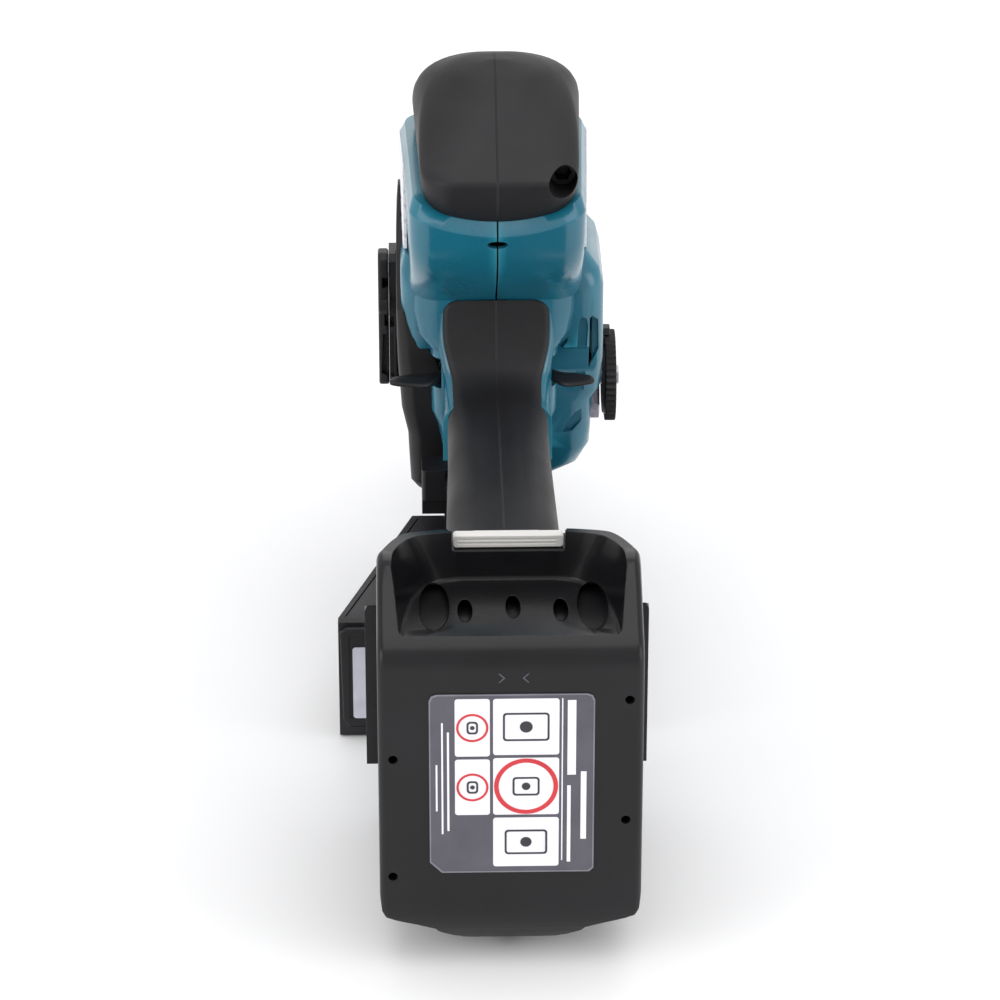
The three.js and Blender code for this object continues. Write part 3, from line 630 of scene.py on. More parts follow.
# The bulge's vents, seen from behind: x, z.
SLOT_NEAR = [(25.4, 90.4), (25.7, 82.9), (28, 82.9), (28.6, 90.3)]
SLOT_NEAR += [(29.3, 106.2), (28.7, 108.3), (27.3, 109), (26.3, 107.2)]
SLOT_FAR = [(29.6, 90.2), (32.8, 97), (32.5, 107.2), (30.6, 109), (29.9, 108.3)]
LEAF = [(28.4, 76.3), (25.6, 75.1), (22.8, 72), (21.5, 68.3), (24.3, 68.6), (27, 71.4), (28.3, 74.4)]
NOTCH = [(19.8, 99.2), (23, 102), (22.7, 100.4), (19.9, 96.6)]


def shell_openings():
    """Vents, the slots of the lever and the rods, and the rooms of the cutter and the trigger."""
    tools = [
        prism("slot_near", "y", SLOT_NEAR, 170, 186.1),
        prism("slot_far", "y", SLOT_FAR, 170, 188.4),
        prism("leaf", "y", LEAF, 170, 186.4),
        prism("notch", "y", NOTCH, 176, 186),
    ]
    for side in (-1, 1):
        x = sorted((side * 17.5, side * 40))
        tools.append(prism("lever_slot", "x", rounded(165, 186.6, 88.6, 98.4, 2), *x))
        tools.append(disc("rod_hole", "y", side * 17, 62, 4.4, 214, 240))
    tools.append(block("cutter_room", (-28.8, 28.8), (190.5, 240), (72, 87)))
    tools.append(block("trigger_room", (-8.8, 8.8), (140, 172), (50, 62)))
    tools.append(block("chute_room", (-22.5, -17), (174, 200), (54.5, 60.5)))
    tools.append(disc("dial_hole", "x", DIAL[0], DIAL[1], 4.4, 26, 40))
    tools.append(disc("lock_hole", "x", 228, 101, 4.4, 20, 40))
    return tools


def housing():
    shell = cut(shell_form("housing_form", 0), shell_form("housing_room", WALL), *shell_openings())
    cut(shell, loft("cover_bed", "z", cover_rings(-COVER_GAP)))
    cut(shell, prism("seam_eye", "y", circle(0, 146.6, 3.2, 24, 0.42), 150, 159.5))
    left = twin(shell, "housing_left_shell")
    halved(left, -1)
    halved(shell, 1)
    shell.name = "housing_right_shell"
    finished(left, "body", "shell", ["housing_left"])
    finished(shell, "body", "shell", ["housing_right"])


# -------------------- black cover on the left
COVER_GAP = 0.3  # clear air between the cover and its bed in the shells
# z, outer x, inner x, back, front, corner radius
cover_sections = [
    (42, 22.5, 14.0, 195.0, 220, 2),
    (45, 25.4, 14.0, 192.0, 223, 2.5),
    (48.5, 27.4, 15.0, 189.6, 224, 3),
    (55, 27.7, 16.5, 186.5, 224, 4),
    (68, 28.2, 17.0, 182.6, 224.5, 4.5),
    (77, 30.2, 17.5, 183, 225, 4.5),
    (92, 31.2, 18.0, 184, 226, 4.5),
    (101, 31.5, 23.0, 185.5, 227, 4),
    (110, 31.6, 27.0, 188, 228, 2.5),
    (122, 31.6, 28.6, 204, 229, 1.2),
    (132, 31.3, 29.0, 214, 229, 0.8),
    (140, 30.8, 29.2, 220, 225, 0.4),
]


def cover_rings(inset=0.0):
    rings = []
    for i, (z, outer, inner, back, front, corner) in enumerate(cover_sections):
        end = inset if i == 0 else -inset if i == len(cover_sections) - 1 else 0
        radii = (0.3, 0.3, corner, corner)
        ring = rounded(-outer + inset, -inner - inset, back + inset, front - inset, radii)
        rings.append((z + end, ring))
    return rings


def side_cover():
    cover = loft("side_cover_panel", "z", cover_rings())
    cut(cover, cover_room())
    for z in (52, 62):
        cut(cover, block("groove", (-40, -29.2), (200, 232), (z, z + 0.8)))
    finished(cover, "body", "black", ["side_cover"], edge=0.35)


def cover_room():
    """The room behind the cover: its back wall and side wall stay 2 mm thick."""
    wall = 2
    rings = []
    for z, outer, inner, back, front, _ in cover_sections[1:8]:
        rings.append((z, rounded(-outer + wall, -inner + 8, back + wall, front - wall, 1)))
    return loft("cover_room", "z", rings)


# -------------------- rubber cap
# z, half width, back, front, corner radius
cap_sections = [
    (159.9, 25.4, 158.2, 231, 8),
    (161.6, 26.0, 156.4, 232.4, 8.5),
    (165, 26.7, 154.2, 233.8, 10),
    (168.6, 27.0, 153.7, 234, 12),
    (172, 26.9, 160.1, 233.4, 14.5),
    (176, 26.3, 167.7, 232, 17),
    (180, 24.8, 175.2, 229.6, 18.5),
    (183, 22.6, 180.9, 226.4, 19),
    (185.3, 19.8, 185.2, 220.5, 17),
    (188, 15.2, 191, 213, 10.8),
    (190, 9.6, 196.5, 208, 5.6),
    (190.9, 4.6, 199.5, 204.5, 2.4),
]
CAP_SHIFT = 0.7  # the cap sits a little to the right
KEY_HOLE = (20.2, 166.2)  # x, z


def bumper_cap():
    lower_edge = cap_sections[0][0]
    rings = []
    for z, half, back, front, corner in blended(cap_sections, 4):
        share = max(0.0, 1 - (z - lower_edge) / 7)
        ring = rounded(-half, half, back, front, corner, 10)
        rings.append((sag(z, LIP_SAG * share), [(x + CAP_SHIFT, y) for x, y in tapered(ring)]))
    cap = loft("bumper_cap_rubber", "z", dense_rings(rings))
    x, z = KEY_HOLE
    funnel = [(140, z + 2.4, 4.9), (158, z + 0.4, 4.6), (176, z - 0.2, 4.1)]
    cut(cap, loft("key_hole", "y", [(y, circle(x, middle, r, 40)) for y, middle, r in funnel]))
    finished(cap, "body", "rubber", ["bumper_cap"])
    sleeve = [(167, 3.0), (167, 4.15), (174.6, 4.05), (174.6, 3.0)]
    rim = lathe("key_hole_sleeve", "y", x, z, sleeve, 40)
    bore = disc("bore", "y", x, z, 2.9, 150, 172, 6)
    finished(cut(rim, bore), "body", "black")


# -------------------- rubber grip
# Along the grip's crest: y, z, half width, side depth, corner radius, crown
grip_sections = [
    (66.6, 94.2, 17.2, 30, 9, 0.6),
    (80, 94.4, 17.0, 30, 9, 0.7),
    (110, 94.8, 16.3, 30, 9, 0.9),
    (135, 94.4, 15.8, 30, 8.5, 1.0),
    (150, 93.6, 15.8, 28, 8, 1.0),
    (158, 93.2, 15.7, 20, 6.5, 1.0),
    (164.5, 93.9, 15.3, 12, 5, 0.9),
    (169.4, 96.2, 15.2, 7, 4, 0.8),
    (172.6, 99.4, 16.0, 4.6, 3, 0.8),
    (175.2, 103.8, 16.9, 3.4, 2.4, 0.7),
    (177.4, 108.6, 17.1, 3.0, 2, 0.6),
    (178.8, 113.0, 17.0, 2.8, 2, 0.5),
]
TONGUE_CORNER = 4.2  # radius of the grip's round upper end


def grip_rows(wider=0.0):
    rows = blended(grip_sections, 5)
    y, z, half, side, corner, crown = rows[-1]
    steps = 8
    for i in range(1, steps + 1):
        angle = math.pi / 2 * i / steps
        rise = TONGUE_CORNER * math.sin(angle)
        pull = TONGUE_CORNER * (1 - math.cos(angle))
        rows.append((y + 0.25 * rise, z + rise, half - pull, side, corner, crown))
    return [(y, z, half + wider, side, corner, crown) for y, z, half, side, corner, crown in rows]


def grip_sheet(name, wider, lower, side_scale=1.0):
    """A sheet that follows the crest and turns down at both sides, as an open grid."""
    rows = grip_rows(wider)
    points = []
    for i, (y, z, half, side, corner, crown) in enumerate(rows):
        before, after = rows[max(i - 1, 0)], rows[min(i + 1, len(rows) - 1)]
        along = Vector((0, after[0] - before[0], after[1] - before[1])).normalized()
        out = Vector((0, -along.z, along.y))
        depth = side * side_scale
        path = [(-half, -depth), (-half, -(depth + corner) / 2)]
        for step in range(7):
            a = math.radians(180 - 90 * step / 6)
            path.append((-half + corner + corner * math.cos(a), -corner + corner * math.sin(a)))
        flat = half - corner
        path += [(-flat * t, crown * (1 - t * t)) for t in (0.85, 0.6, 0.35, 0.1)]
        path += [(-x, h) for x, h in reversed(path)]
        for x, height in path:
            p = Vector((x, y, z)) + out * (height - lower - crown)
            points.append(tuple(p))
    count = len(points) // len(rows)
    faces = [
        (i * count + j, i * count + j + 1, (i + 1) * count + j + 1, (i + 1) * count + j)
        for i in range(len(rows) - 1)
        for j in range(count - 1)
    ]
    return new_piece(name, points, faces)


def thickened(piece, thickness):
    step = piece.modifiers.new("thickness", "SOLIDIFY")
    step.thickness = thickness * MM
    step.offset = -1
    step.use_even_offset = True
    return apply(piece)


def grip():
    skin = thickened(grip_sheet("grip_rubber_skin", 0, 0), 2.0)
    finished(skin, "body", "rubber", ["grip_overmould"], edge=0.7, segments=3)
    rim = thickened(grip_sheet("grip_rim", 1.5, 1.1, 0.96), 2.4)
    cut(rim, block("below_rim", (-40, 40), (60, 158), (50, 120)))
    finished(rim, "body", "shell", edge=0.5)


# -------------------- battery
# The right half of the scoop in the battery's top, from above and from the rear: floor, then rim.
SCOOP_FLOOR = [(32.4, -40), (31.2, -24), (30.6, -10), (28.8, 2)]
SCOOP_FLOOR += [(26.9, 10.5), (23.4, 18.2), (19, 22.4), (13.4, 24.4)]
SCOOP_RIM = [(33.4, -40), (33.2, -24), (33.2, -8), (33.1, 3)]
SCOOP_RIM += [(32.2, 11.5), (29.6, 18), (25.8, 22.6), (15.5, 25.6)]


def both_halves(half):
    return half + [(-x, y) for x, y in reversed(half)]


def foot_outline():
    """The battery seen from behind, with a bowed lower edge that steps up near its corners."""
    half = [(36.6, 18.6), (35.4, 16.6), (32.7, 15.3), (26.7, 13.3), (21.5, 11.2), (20.4, 9.6), (18.4, 8.2)]
    half += [(14.8, 5.9), (11.5, 4), (8, 1.6), (4, 0)]
    upper = [(CASE_HALF, 24), (CASE_HALF, 130), (-CASE_HALF, 130), (-CASE_HALF, 24)]
    return [(-x, z) for x, z in half] + half[::-1] + upper


def floor_level(y):
    """Height of the scoop's sloped floor."""
    return 105.6 - 0.115 * (y - BACK)


def scoop():
    """The thumb recess: a sloped floor, and walls that follow the arched rim."""
    low = both_halves(blended(SCOOP_FLOOR, 3))
    high = both_halves(blended(SCOOP_RIM, 3))
    made = loft("scoop", "z", [(lambda x, y: floor_level(y), low), (116, high), (140, high)])
    return apply(rounded_edges(made, 1.4, 3, 50))


def battery_pockets():
    """Oval pockets in the floor of the scoop, leaning back."""
    view = Vector((0, 0.891, -0.454)).to_track_quat("Y", "Z").to_matrix().to_4x4()
    large, small = (4.35, 6.4), (2.1, 3.05)  # half width, half height
    spots = [(-21.1, 4.2, large), (23.7, 3.8, large)]
    spots += [(-12.4, 1, small), (1.2, 3.6, small), (14.6, 1, small)]
    pockets = []
    for x, y, (wide, tall) in spots:
        pocket = disc("pocket", "y", 0, 0, 1, -24, 24, 40)
        pocket.data.transform(Matrix.Diagonal((wide, 1, tall, 1)))
        pocket.data.transform(view)
        pocket.data.transform(Matrix.Translation(Vector((x, y, floor_level(y))) * MM))
        pockets.append(keep(pocket, block("pocket_room", (-40, 40), (-22.4, 24.2), (98.7, 130))))
    return pockets


def battery_case():
    side = [(20, -2), (20, CROWN_LOW), (30, CROWN_LOW), (30, 114.2), (25, 115.2), (12, 116.6), (8.6, 117.2)]
    side += [(3, 116.4), (-4, 112.6), (-10, 109), (-16, 105.8), (-20, 103.8), (-22.6, 101), (-24, 97)]
    for i in range(12):
        a = math.radians(180 + 90 * i / 12)
        side.append((BACK + FOOT_ROUND * (1 + math.cos(a)), FOOT_ROUND * (1 + math.sin(a))))
    side.append((BACK + FOOT_ROUND, -2))
    form = prism("battery_case_shell", "x", side, -CASE_HALF, CASE_HALF)
    apply(rounded_edges(form, 2.2, 4, 50))
    keep(form, prism("foot_form", "y", foot_outline(), -30, 40))
    crown = [(x * 1.08, y + 2.7) for x, y in both_halves(blended(SCOOP_RIM[4:], 4))]
    top_plan = [(37.4, -30), (37.4, 8.6), (36.6, 10.4), (35.6, 12)] + crown
    top_plan += [(-35.6, 12), (-36.6, 10.4), (-37.4, 8.6), (-37.4, -30)]
    above = prism("above", "z", top_plan, CROWN_LOW, 130)
    below = block("below", (-40, 40), (-30, 20), (-5, CROWN_LOW + 0.1))
    keep(form, join(above, below))
    cut(form, block("button_room", (-16.8, 17), (26.7, 34.3), (109.1, 125)))
    cut(form, prism("button_notch", "y", rounded(-15.8, 16.6, 109, 131, 1.2, 4), 18, 35))
    cut(form, scoop())
    cut(form, *battery_pockets())
    for x, z in ((33.1, 87.6), (-33, 69.1), (32.4, 48.8), (-33.4, 30.8)):
        cut(form, disc("screw_hole", "y", x, z, 1.35, BACK - 2, BACK + 5, 20))
    cut(form, block("inside", (-33.6, 33.6), (-21.6, 17.4), (22, 97)))
    finished(form, "battery", "gloss", ["battery_case"], edge=0.4)


def chevrons():
    """Two small raised arrows above the label."""
    middle = 95
    parts = []
    for x, lean in ((-3.2, 1), (4.8, -1)):
        tip = x + lean * 1.6
        for way in (-1, 1):
            end = middle + way * 1.4
            points = [(tip, middle), (tip - lean * 0.5, middle)]
            points += [(x - lean * 0.35, end), (x + lean * 0.1, end)]
            parts.append(prism("chevron", "y", points, BACK - 0.18, BACK + 0.2))
    mark = join(*parts)
    mark.name = "battery_arrows"
    finished(mark, "battery", "gloss", look=label_grey)


def cell_pack():
    """Ten cells lying across the battery in two upright rows."""
    radius, half, lowest, pitch = 8.3, 31, 23.4, 16.65
    cells = []
    for y in (-11, 6.8):
        for i in range(5):
            cells.append(disc("cell", "x", y, lowest + pitch * i, radius, -half, half, 48))
    pack = gathered("battery_cells", cells)
    finished(pack, "battery", "cell", ["cell_pack"], edge=0.7)


def battery_rails():
    foot, neck, head = 33, 27, 31
    tee = [(-foot, 20.4), (foot, 20.4), (foot, 26), (neck, 26), (neck, 31), (head, 31), (head, 38)]
    tee += [(-head, 38), (-head, 31), (-neck, 31), (-neck, 26), (-foot, 26)]
    rails = prism("battery_rail_block", "z", tee, 24, CROWN_LOW - 0.4)
    for side in (-1, 1):
        x = sorted((side * 11.4, side * 14.6))
        cut(rails, block("slot", x, (32.6, 41), (20, 62)))
    cut(rails, block("latch_room", (-10.5, 10.5), (28.1, 41), (74, 110)))
    for z in (70, 74, 78):
        cut(rails, block("rib", (-26, -12), (37.4, 41), (z, z + 1.6)))
        cut(rails, block("rib", (12, 26), (37.4, 41), (z, z + 1.6)))
    finished(rails, "battery", "gloss", ["battery_rails"], edge=0.5)


def bar_ring(x, z, r, width, low, high):
    ring = disc("ring", "y", x, z, r, low, high, 48)
    return cut(ring, disc("ring_bore", "y", x, z, r - width, low - 1, high + 1, 48))


PANEL_RIGHT = (-5, 13.5)  # x from, x to
PANEL_LEFT = (-15.7, -5.9)


def label():
    x0, x1, z0, z1 = LABEL
    plate = [(x0 + 3.4, z0), (x1 - 1.2, z0), (x1, z0 + 1.2), (x1, z1 - 2), (x1 - 0.6, z1 - 0.6)]
    plate += [(x1 - 2, z1), (x0 + 2, z1), (x0 + 0.6, z1 - 0.6), (x0, z1 - 2), (x0, z0 + 3.4)]
    sheet = prism("battery_label_plate", "y", plate, BACK - 0.35, BACK + 0.1)
    finished(sheet, "battery", "label", ["battery_label"], edge=0.1)

    rim_outer = prism("label_border", "y", plate, BACK - 0.42, BACK - 0.3)
    centre = Vector(((x0 + x1) / 2, (z0 + z1) / 2))
    inner = [(centre.x + (x - centre.x) * 0.983, centre.y + (z - centre.y) * 0.986) for x, z in plate]
    cut(rim_outer, prism("border_room", "y", inner, BACK - 1, BACK))
    finished(rim_outer, "battery", "label", look=label_edge)

    top = BACK - 0.45
    panels = [(*PANEL_RIGHT, 70.6, 88.6), (*PANEL_RIGHT, 51.2, 69.6), (*PANEL_RIGHT, 34.2, 50.2)]
    panels += [(*PANEL_LEFT, 70.2, 88.6), (*PANEL_LEFT, 51.2, 69.2)]
    under = BACK - 0.2
    sheets = [prism("panel", "y", rounded(*panel, 0.8, 4), top, under) for panel in panels]
    sheets.append(block("line", (14.2, 14.55), (top, under), (36, 88.6)))
    # x, width, middle height, length
    bars = [(15.8, 2.4, 76, 24), (15.8, 1, 48, 25), (19.6, 1.6, 54, 22)]
    bars += [(-17.9, 0.6, 62, 32), (-19.5, 0.5, 63, 36), (-21.1, 0.5, 60, 15)]
    for x, wide, z, long in bars:
        sheets.append(block("bar", (x, x + wide), (top, under), (z - long / 2, z + long / 2)))
    papers = gathered("label_pale_panels", sheets)
    finished(papers, "battery", "label", look=label_pale)

    ink = top - 0.1
    right_middle = sum(PANEL_RIGHT) / 2
    left_middle = sum(PANEL_LEFT) / 2
    rings = [bar_ring(right_middle, 60.4, 9.0, 1.3, ink, top + 0.1)]
    rings += [bar_ring(left_middle, z, 4.5, 0.65, ink, top + 0.1) for z in (79.4, 60.2)]
    red = gathered("label_red_rings", rings)
    finished(red, "battery", "label", look=label_red)

    shapes = []
    icons = [(right_middle, 79.6, 13, 9), (right_middle, 60.4, 7.6, 6), (right_middle, 42.2, 12, 8)]
    icons += [(left_middle, 79.4, 3.2, 4), (left_middle, 60.2, 3.2, 4)]
    stroke = 0.55
    for x, z, wide, tall in icons:
        outer = (x - wide / 2, x + wide / 2, z - tall / 2, z + tall / 2)
        inner = (outer[0] + stroke, outer[1] - stroke, outer[2] + stroke, outer[3] - stroke)
        icon = prism("icon", "y", rounded(*outer, 1, 4), ink, top + 0.1)
        shapes.append(cut(icon, prism("icon_room", "y", rounded(*inner, 0.6, 4), ink - 1, top + 1)))
        shapes.append(prism("icon_dot", "y", circle(x, z, min(wide, tall) * 0.2, 24), ink, top + 0.1))
    dark = gathered("label_plain_shapes", shapes)
    finished(dark, "battery", "label", look=label_dark)


def battery_button():
    strip = prism("battery_button_cap", "y", rounded(-15.4, 16.2, 109.3, 112.9, 1), 26.9, 30.4)
    tongue = [(31.5, 78.4), (40.4, 78.4), (40.4, 107.8), (33, 107.8)]
    tongue += [(33, 111), (29.5, 111), (29.5, 109.6), (31.5, 109.6)]
    join(strip, prism("tongue", "x", tongue, -9.4, 9.4))
    for z in (110.2, 111.4):
        cut(strip, block("ridge", (-14, 14), (26, 27.2), (z, z + 0.6)))
    finished(strip, "battery_latch", "button", ["battery_button"], edge=0.5, segments=3)


# -------------------- battery holder
def holder():
    channel = [(-41, 27), (-27.8, 27), (-27.8, 30.2), (-31.8, 30.2), (-31.8, 38.8), (31.8, 38.8)]
    channel += [(31.8, 30.2), (27.8, 30.2), (27.8, 27), (41, 27), (41, 61), (40, 64.6), (37, 66)]
    channel += [(-37, 66), (-40, 64.6), (-41, 61)]
    slope = [(26, 92.2), (27.2, 90.6), (67, 69), (67, 94), (26, 94)]
    corner = [(38.6, 94), (41.4, 88), (44, 88), (44, 94)]
    piece = prism("battery_holder", "z", channel, 20, 92)
    for side in (-1, 1):
        cut(piece, block("under", sorted((side * 36.8, side * 44)), (20, 70), (10, 38)))
        cut(piece, prism("flank_slope", "x", slope, *sorted((side * 33.6, side * 44))))
        cut(piece, prism("chamfer", "y", [(side * x, z) for x, z in corner], 20, 70))
    cut(piece, prism("front_slope", "x", [(68, 80), (62, 94), (68, 94)], -44, 44))
    apply(rounded_edges(piece, 1.2, 3, 50))
    join(piece, block("floor", (-36.5, 36.5), (27.2, 62), (20, 23.4)))
    cut(piece, block("pocket", (-18, 18), (38, 50.4), (28, 60)))
    for z in (44, 54, 64):
        cut(piece, block("groove", (-42, -40.2), (34, 58), (z, z + 1.2)))
        cut(piece, block("groove", (40.2, 42), (34, 58), (z, z + 1.2)))
    finished(piece, "body", "black", ["battery_mount"], edge=0.5)


# -------------------- clamp, carriage arm and dial
def ribbed_lever():
    """Thumb lever at the left: a barrel at the top, a hollow paddle below."""
    paddle = [(246, 57), (247.4, 56), (253, 56), (255, 62), (255.5, 86), (258, 92), (257, 99)]
    paddle += [(252, 104), (246, 104.8), (243.4, 103), (242.5, 96), (243, 88), (245, 83)]
    lever = prism("clamp_lever_paddle", "x", paddle, -37.8, -34.35)
    apply(rounded_edges(lever, 0.9, 3, 30))
    cut(lever, block("window", (-36.4, -34), (238, 248), (93.4, 97.2)))
    cut(lever, block("window", (-35.8, -34), (238, 248), (78.6, 82.8)))
    trough = [(-36.9, 61), (-35.2, 60), (-34, 60), (-34, 75.6), (-36.3, 75.6)]
    cut(lever, prism("trough", "y", trough, 238, 247.6))
    for i in range(4):
        cut(lever, block("rib", (-39, -37.4), (240, 256), (61 + i * 3.6, 62.4 + i * 3.6)))
    finished(lever, "clamp", "black", ["clamp_lever"], edge=0.25)
    profile = [(-37.8, 2.6), (-37.4, 3.4), (-34.8, 3.4), (-34.4, 2.6)]
    barrel = lathe("clamp_lever_barrel", "x", 245.2, 86.6, profile, 32)
    finished(barrel, "clamp", "black", edge=0.2)


def clamp_block():
    outline = [(249.4, 57.4), (254.4, 57.4), (259.8, 62), (259.8, 101), (256, 104), (249.4, 104)]
    piece = prism("clamp_block_body", "x", outline, -34.2, -30.6)
    rear = [(250, 57.4), (246, 57.4), (244.6, 59), (244.6, 84), (246.4, 88), (244.8, 92)]
    rear += [(244.8, 102), (247, 104), (250, 104)]
    join(piece, prism("clamp_block_rear", "x", rear, -34.25, -31.95))
    cut(piece, block("window", (-34.3, -32.5), (240, 248), (78.4, 82.6)))
    cut(piece, prism("panel", "y", [(-34.3, 61), (-32.6, 60), (-32.6, 76), (-34.3, 76)], 240, 245.4))
    finished(piece, "carriage", "black", ["clamp_block"], edge=0.5)


def carriage_arm():
    arm = [(216, 58), (240, 55), (247, 52), (254.4, 52), (254.4, 62)]
    arm += [(247, 65), (238, 70), (216, 70.6), (213.4, 64)]
    piece = prism("carriage_side_arm", "x", arm, 31.4, 34.6)
    join(piece, block("foot", (30.4, 33), (249, 254.4), (54, 59.6)))
    cut(piece, disc("arm_hole", "x", 221, 64, 2.2, 30, 40))
    finished(piece, "carriage", "alloy", ["carriage_arm"], edge=0.6, segments=3)


def depth_dial():
    y, z, r = DIAL
    teeth = 44
    knurl = []
    for i in range(teeth * 4):
        a = 2 * math.pi * i / (teeth * 4)
        dip = (0, 0.55, 0.75, 0.55)[i % 4]
        knurl.append((y + (r - dip) * math.cos(a), z + (r - dip) * math.sin(a)))
    wheel = prism("depth_dial_wheel", "x", knurl, 35.7, 39.2)
    apply(rounded_edges(wheel, 0.3, 2, 60))
    dish = lathe("dish", "x", y, z, [(40, 12.2), (38.2, 11.4), (37.8, 10.6)], 64)
    cut(wheel, dish, disc("bore", "x", y, z, 3.2, 30, 50))
    finished(wheel, "depth_stop", "black", ["depth_dial"])
    hub = lathe("depth_dial_hub", "x", y, z, [(35.0, 10), (35.0, 12.4), (35.8, 12.4), (35.8, 10)], 64)
    cut(hub, disc("bore", "x", y, z, 3.2, 30, 50))
    marks = []
    for i in range(12):
        tick = block("tick", (37.6, 38.1), (y - 0.35, y + 0.35), (z + 7.2, z + 10.2))
        marks.append(turned(tick, y, z, 2 * math.pi * i / 12))
    ticks = gathered("depth_dial_ticks", marks)
    finished(ticks, "depth_stop", "button")
    finished(hub, "depth_stop", "black")
    pointer = [(y - 3, z + 15.4), (y + 2, z + 15.4), (y + 2, z + 17.4), (y - 2, z + 17.6)]
    tab = prism("depth_pointer", "x", pointer, 33.4, 37.4)
    finished(tab, "body", "black", edge=0.4)


# -------------------- hand controls
def lock_off_lever():
    """A bar through the column that widens into a finger-shaped horn on each side."""
    # x, y, z, half length, half thickness
    horn = [(16, 181, 92, 2, 1.7), (18.5, 178, 91.4, 3.6, 1.7), (22, 175, 91.6, 4.3, 1.7)]
    horn += [(26.4, 173.6, 92.2, 4, 1.6), (29.6, 172.2, 92.8, 3, 1.4)]
    horn += [(31.6, 171.4, 93.1, 2.1, 1.1), (32.4, 171, 93.1, 1, 0.6)]
    left = [(-x - max(0, x - 18) * 0.1, *rest) for x, *rest in reversed(horn)]
    right = [(x - max(0, x - 18) * 0.11, *rest) for x, *rest in horn]
    rings = []
    for x, y, z, long, thick in blended(left, 4) + blended(right, 4):
        ring = []
        for i in range(20):
            a = 2 * math.pi * i / 20
            fullness = 1.0 if math.sin(a) > 0 else 0.8
            ring.append((y + long * math.cos(a), z + thick * math.sin(a) * fullness))
        rings.append((x, ring))
    lever = loft("lock_off_lever_body", "x", rings)
    finished(lever, "lock_off", "black", ["lock_off_lever"])


def trigger():
    face = [(145, 61), (145.4, 55), (146.4, 50), (148.2, 46.6), (150, 46), (151.4, 47.4)]
    face += [(151.8, 52), (154, 55.6), (157.4, 58), (168.6, 58.6), (168.6, 63.2), (147, 63)]
    piece = prism("trigger_paddle", "x", face, -7.4, 7.4)
    finished(piece, "trigger", "black", ["trigger"], edge=1.1, segments=4)


# -------------------- dust box with its door
def dust_box():
    left, right, back, front, deck, top = -50.4, 36, 110, 192, 28, 40
    outline = [(left, 0), (right, 0), (right, deck - 3), (right - 3, deck)]
    outline += [(-15, deck), (-15, top), (left, top)]
    body = prism("dust_box_shell", "y", outline, back, front)
    join(body, block("porch", (-16, -6.4), (166, 182), (deck - 1, top - 0.1)))
    slant = [(-70, 113), (left, 113), (-27.2, 182), (-27.2, 200), (-70, 200)]
    cut(body, prism("slant", "z", slant, -2, 50), block("tower_end", (-60, 0), (182, 200), (deck, 60)))
    apply(rounded_edges(body, 1.5, 4, 30))
    join(body, prism("neck", "z", rounded(-12, 12, 186, 214, 3), deck - 3, 39.6))
    side = left + 3.4
    room = [(side, 3), (right - 2, 3), (right - 2, deck - 2)]
    room += [(-17, deck - 2), (-17, top - 2), (side, top - 2)]
    inner = [(side, back - 5), (right, back - 5), (right, front - 2)]
    inner += [(-24, front - 2), (-24, 182), (side, 115)]
    hollow = keep(prism("room", "y", room, back - 5, front - 2), prism("inner", "z", inner, 0, 60))
    low = block("low", (-60, 60), (90, 200), (0, deck - 2))
    up = block("up", (-60, 0), (90, 180), (0, 60))
    cut(body, keep(hollow, join(low, up)))
    cut(body, block("inlet", (-15.6, -10), (171, 175.6), (36, 58)))
    cut(body, block("porch_room", (-18, -8.4), (168, 180), (24, 38)))
    line = [(left + 2.1, 114), (left + 2.7, 114), (-24.9, 180), (-25.5, 180)]
    cut(body, prism("rim_line", "z", line, top - 0.35, top + 1))
    finished(body, "body", "black", ["dust_box"], edge=0.3)


def dust_door():
    left, right = -50.1, 35.6
    outline = [(left + 2.4, 4.3), (right - 1.6, 4.3), (right, 5.9), (right, 26), (right - 1.4, 27.4)]
    outline += [(-15.4, 27.4), (-15.4, 39), (left + 2, 39), (left + 0.2, 37.6), (left + 0.9, 7)]
    door = prism("dust_door_panel", "y", outline, 107.6, 109.6)
    apply(rounded_edges(door, 0.5, 3))
    inner = [(left + 3, 7.4), (right - 3, 7.4), (right - 3, 24.4)]
    inner += [(-18.4, 24.4), (-18.4, 36.4), (left + 3, 36.4)]
    cut(door, prism("tray", "y", inner, 106, 107.95))
    for x in (-30, -22, 0, 8, 16):
        join(door, block("rib", (x, x + 1.2), (107.55, 108.4), (9, 23)))
    finished(door, "bin_door", "black", ["dust_door"], edge=0.2)
    sheet = prism("door_blank_sticker", "y", rounded(-46, -38.4, 7.4, 32.4, 1), 107.5, 108.0)
    finished(sheet, "bin_door", "button", ["door_sticker"], look=sticker_look)


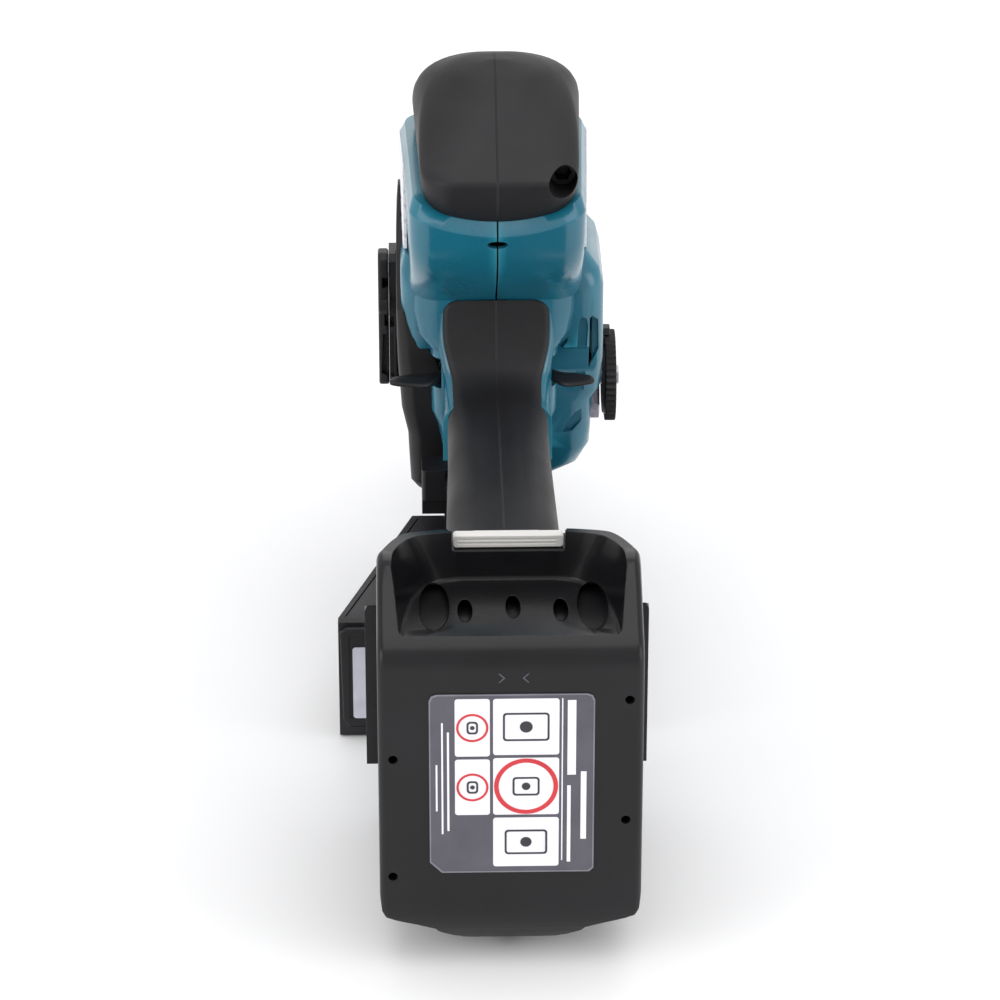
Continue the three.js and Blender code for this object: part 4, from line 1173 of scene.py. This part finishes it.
def chip_chute():
    piece = prism("chip_chute_elbow", "z", rounded(-24, -15.6, 166, 176.5, 1.4), 48.4, 64)
    join(piece, block("spout", (-16.8, -8.8), (169.6, 177), (40.3, 54)))
    cut(piece, block("throat", (-22.4, -17.1), (167.6, 175), (50, 62)))
    cut(piece, block("mouth", (-22.4, -17.1), (174, 180), (54.6, 60.4)))
    cut(piece, block("passage", (-20, -10), (171, 175), (50, 53)))
    cut(piece, block("fall", (-15.6, -10), (171, 175.6), (38, 53)))
    cut(piece, block("step", (-25, -16.2), (160, 166.8), (46, 53.4)))
    finished(piece, "body", "black", ["chip_chute"], edge=0.35)


# -------------------- small parts that show
def housing_screws():
    """Sunk cross-headed screws that hold the two shells together, on the right side."""
    spots = [(100, 63, 13.7), (156, 63, 13.2), (214, 66, 30.3)]
    for i, (y, z, x) in enumerate(spots):
        profile = [(x - 3, 2.7), (x + 0.1, 2.7), (x + 0.45, 2.1)]
        head = lathe("housing_screw_" + str(i + 1), "x", y, z, profile, 28)
        for turn in (0, 90):
            slot = block("cross", (x - 0.6, x + 2), (y - 0.35, y + 0.35), (z - 1.6, z + 1.6))
            cut(head, turned(slot, y, z, math.radians(turn + 20 * i)))
        finished(head, "body", "steel")


def side_ribs():
    """Plain raised ribs, one above the other, on both sides of the head."""
    for side, name in ((-1, "left"), (1, "right")):
        parts = []
        for i in range(8):
            low = 119 + i * 4.7
            near, far = 194 + i * 0.8, 231
            rear, front = (side * 30.1 * (1 - TAPER * (HEAD_FRONT - y)) + side * 0.4 for y in (near, far))
            plan = [(side * 28, near), (rear, near), (front, far), (side * 28, far)]
            parts.append(prism("rib", "z", plan, low, low + 3.4))
        ribs = gathered("side_ribs_" + name, parts)
        finished(ribs, "body", "button", look=label_pale, edge=0.12)


# -------------------- carried-over CAD nodes
def dress_cad_nodes():
    """Every CAD node that stays in view gets fine edges and the material of its slot."""
    slots = {part["node"]: part["material_slot"] for part in frame["record"]["subparts"]}
    for name, node in frame["nodes"].items():
        if node.hide_render:
            continue
        look = LOOKS[slots[name]]
        node.data.materials.clear()
        node.data.materials.append(look.material)
        rounded_edges(node, 0.2, 2, 40)


camera_and_light()
housing()
side_cover()
bumper_cap()
grip()
battery_case()
cell_pack()
chevrons()
battery_rails()
label()
battery_button()
holder()
ribbed_lever()
clamp_block()
carriage_arm()
depth_dial()
lock_off_lever()
trigger()
dust_box()
dust_door()
chip_chute()
housing_screws()
side_ribs()
dress_cad_nodes()
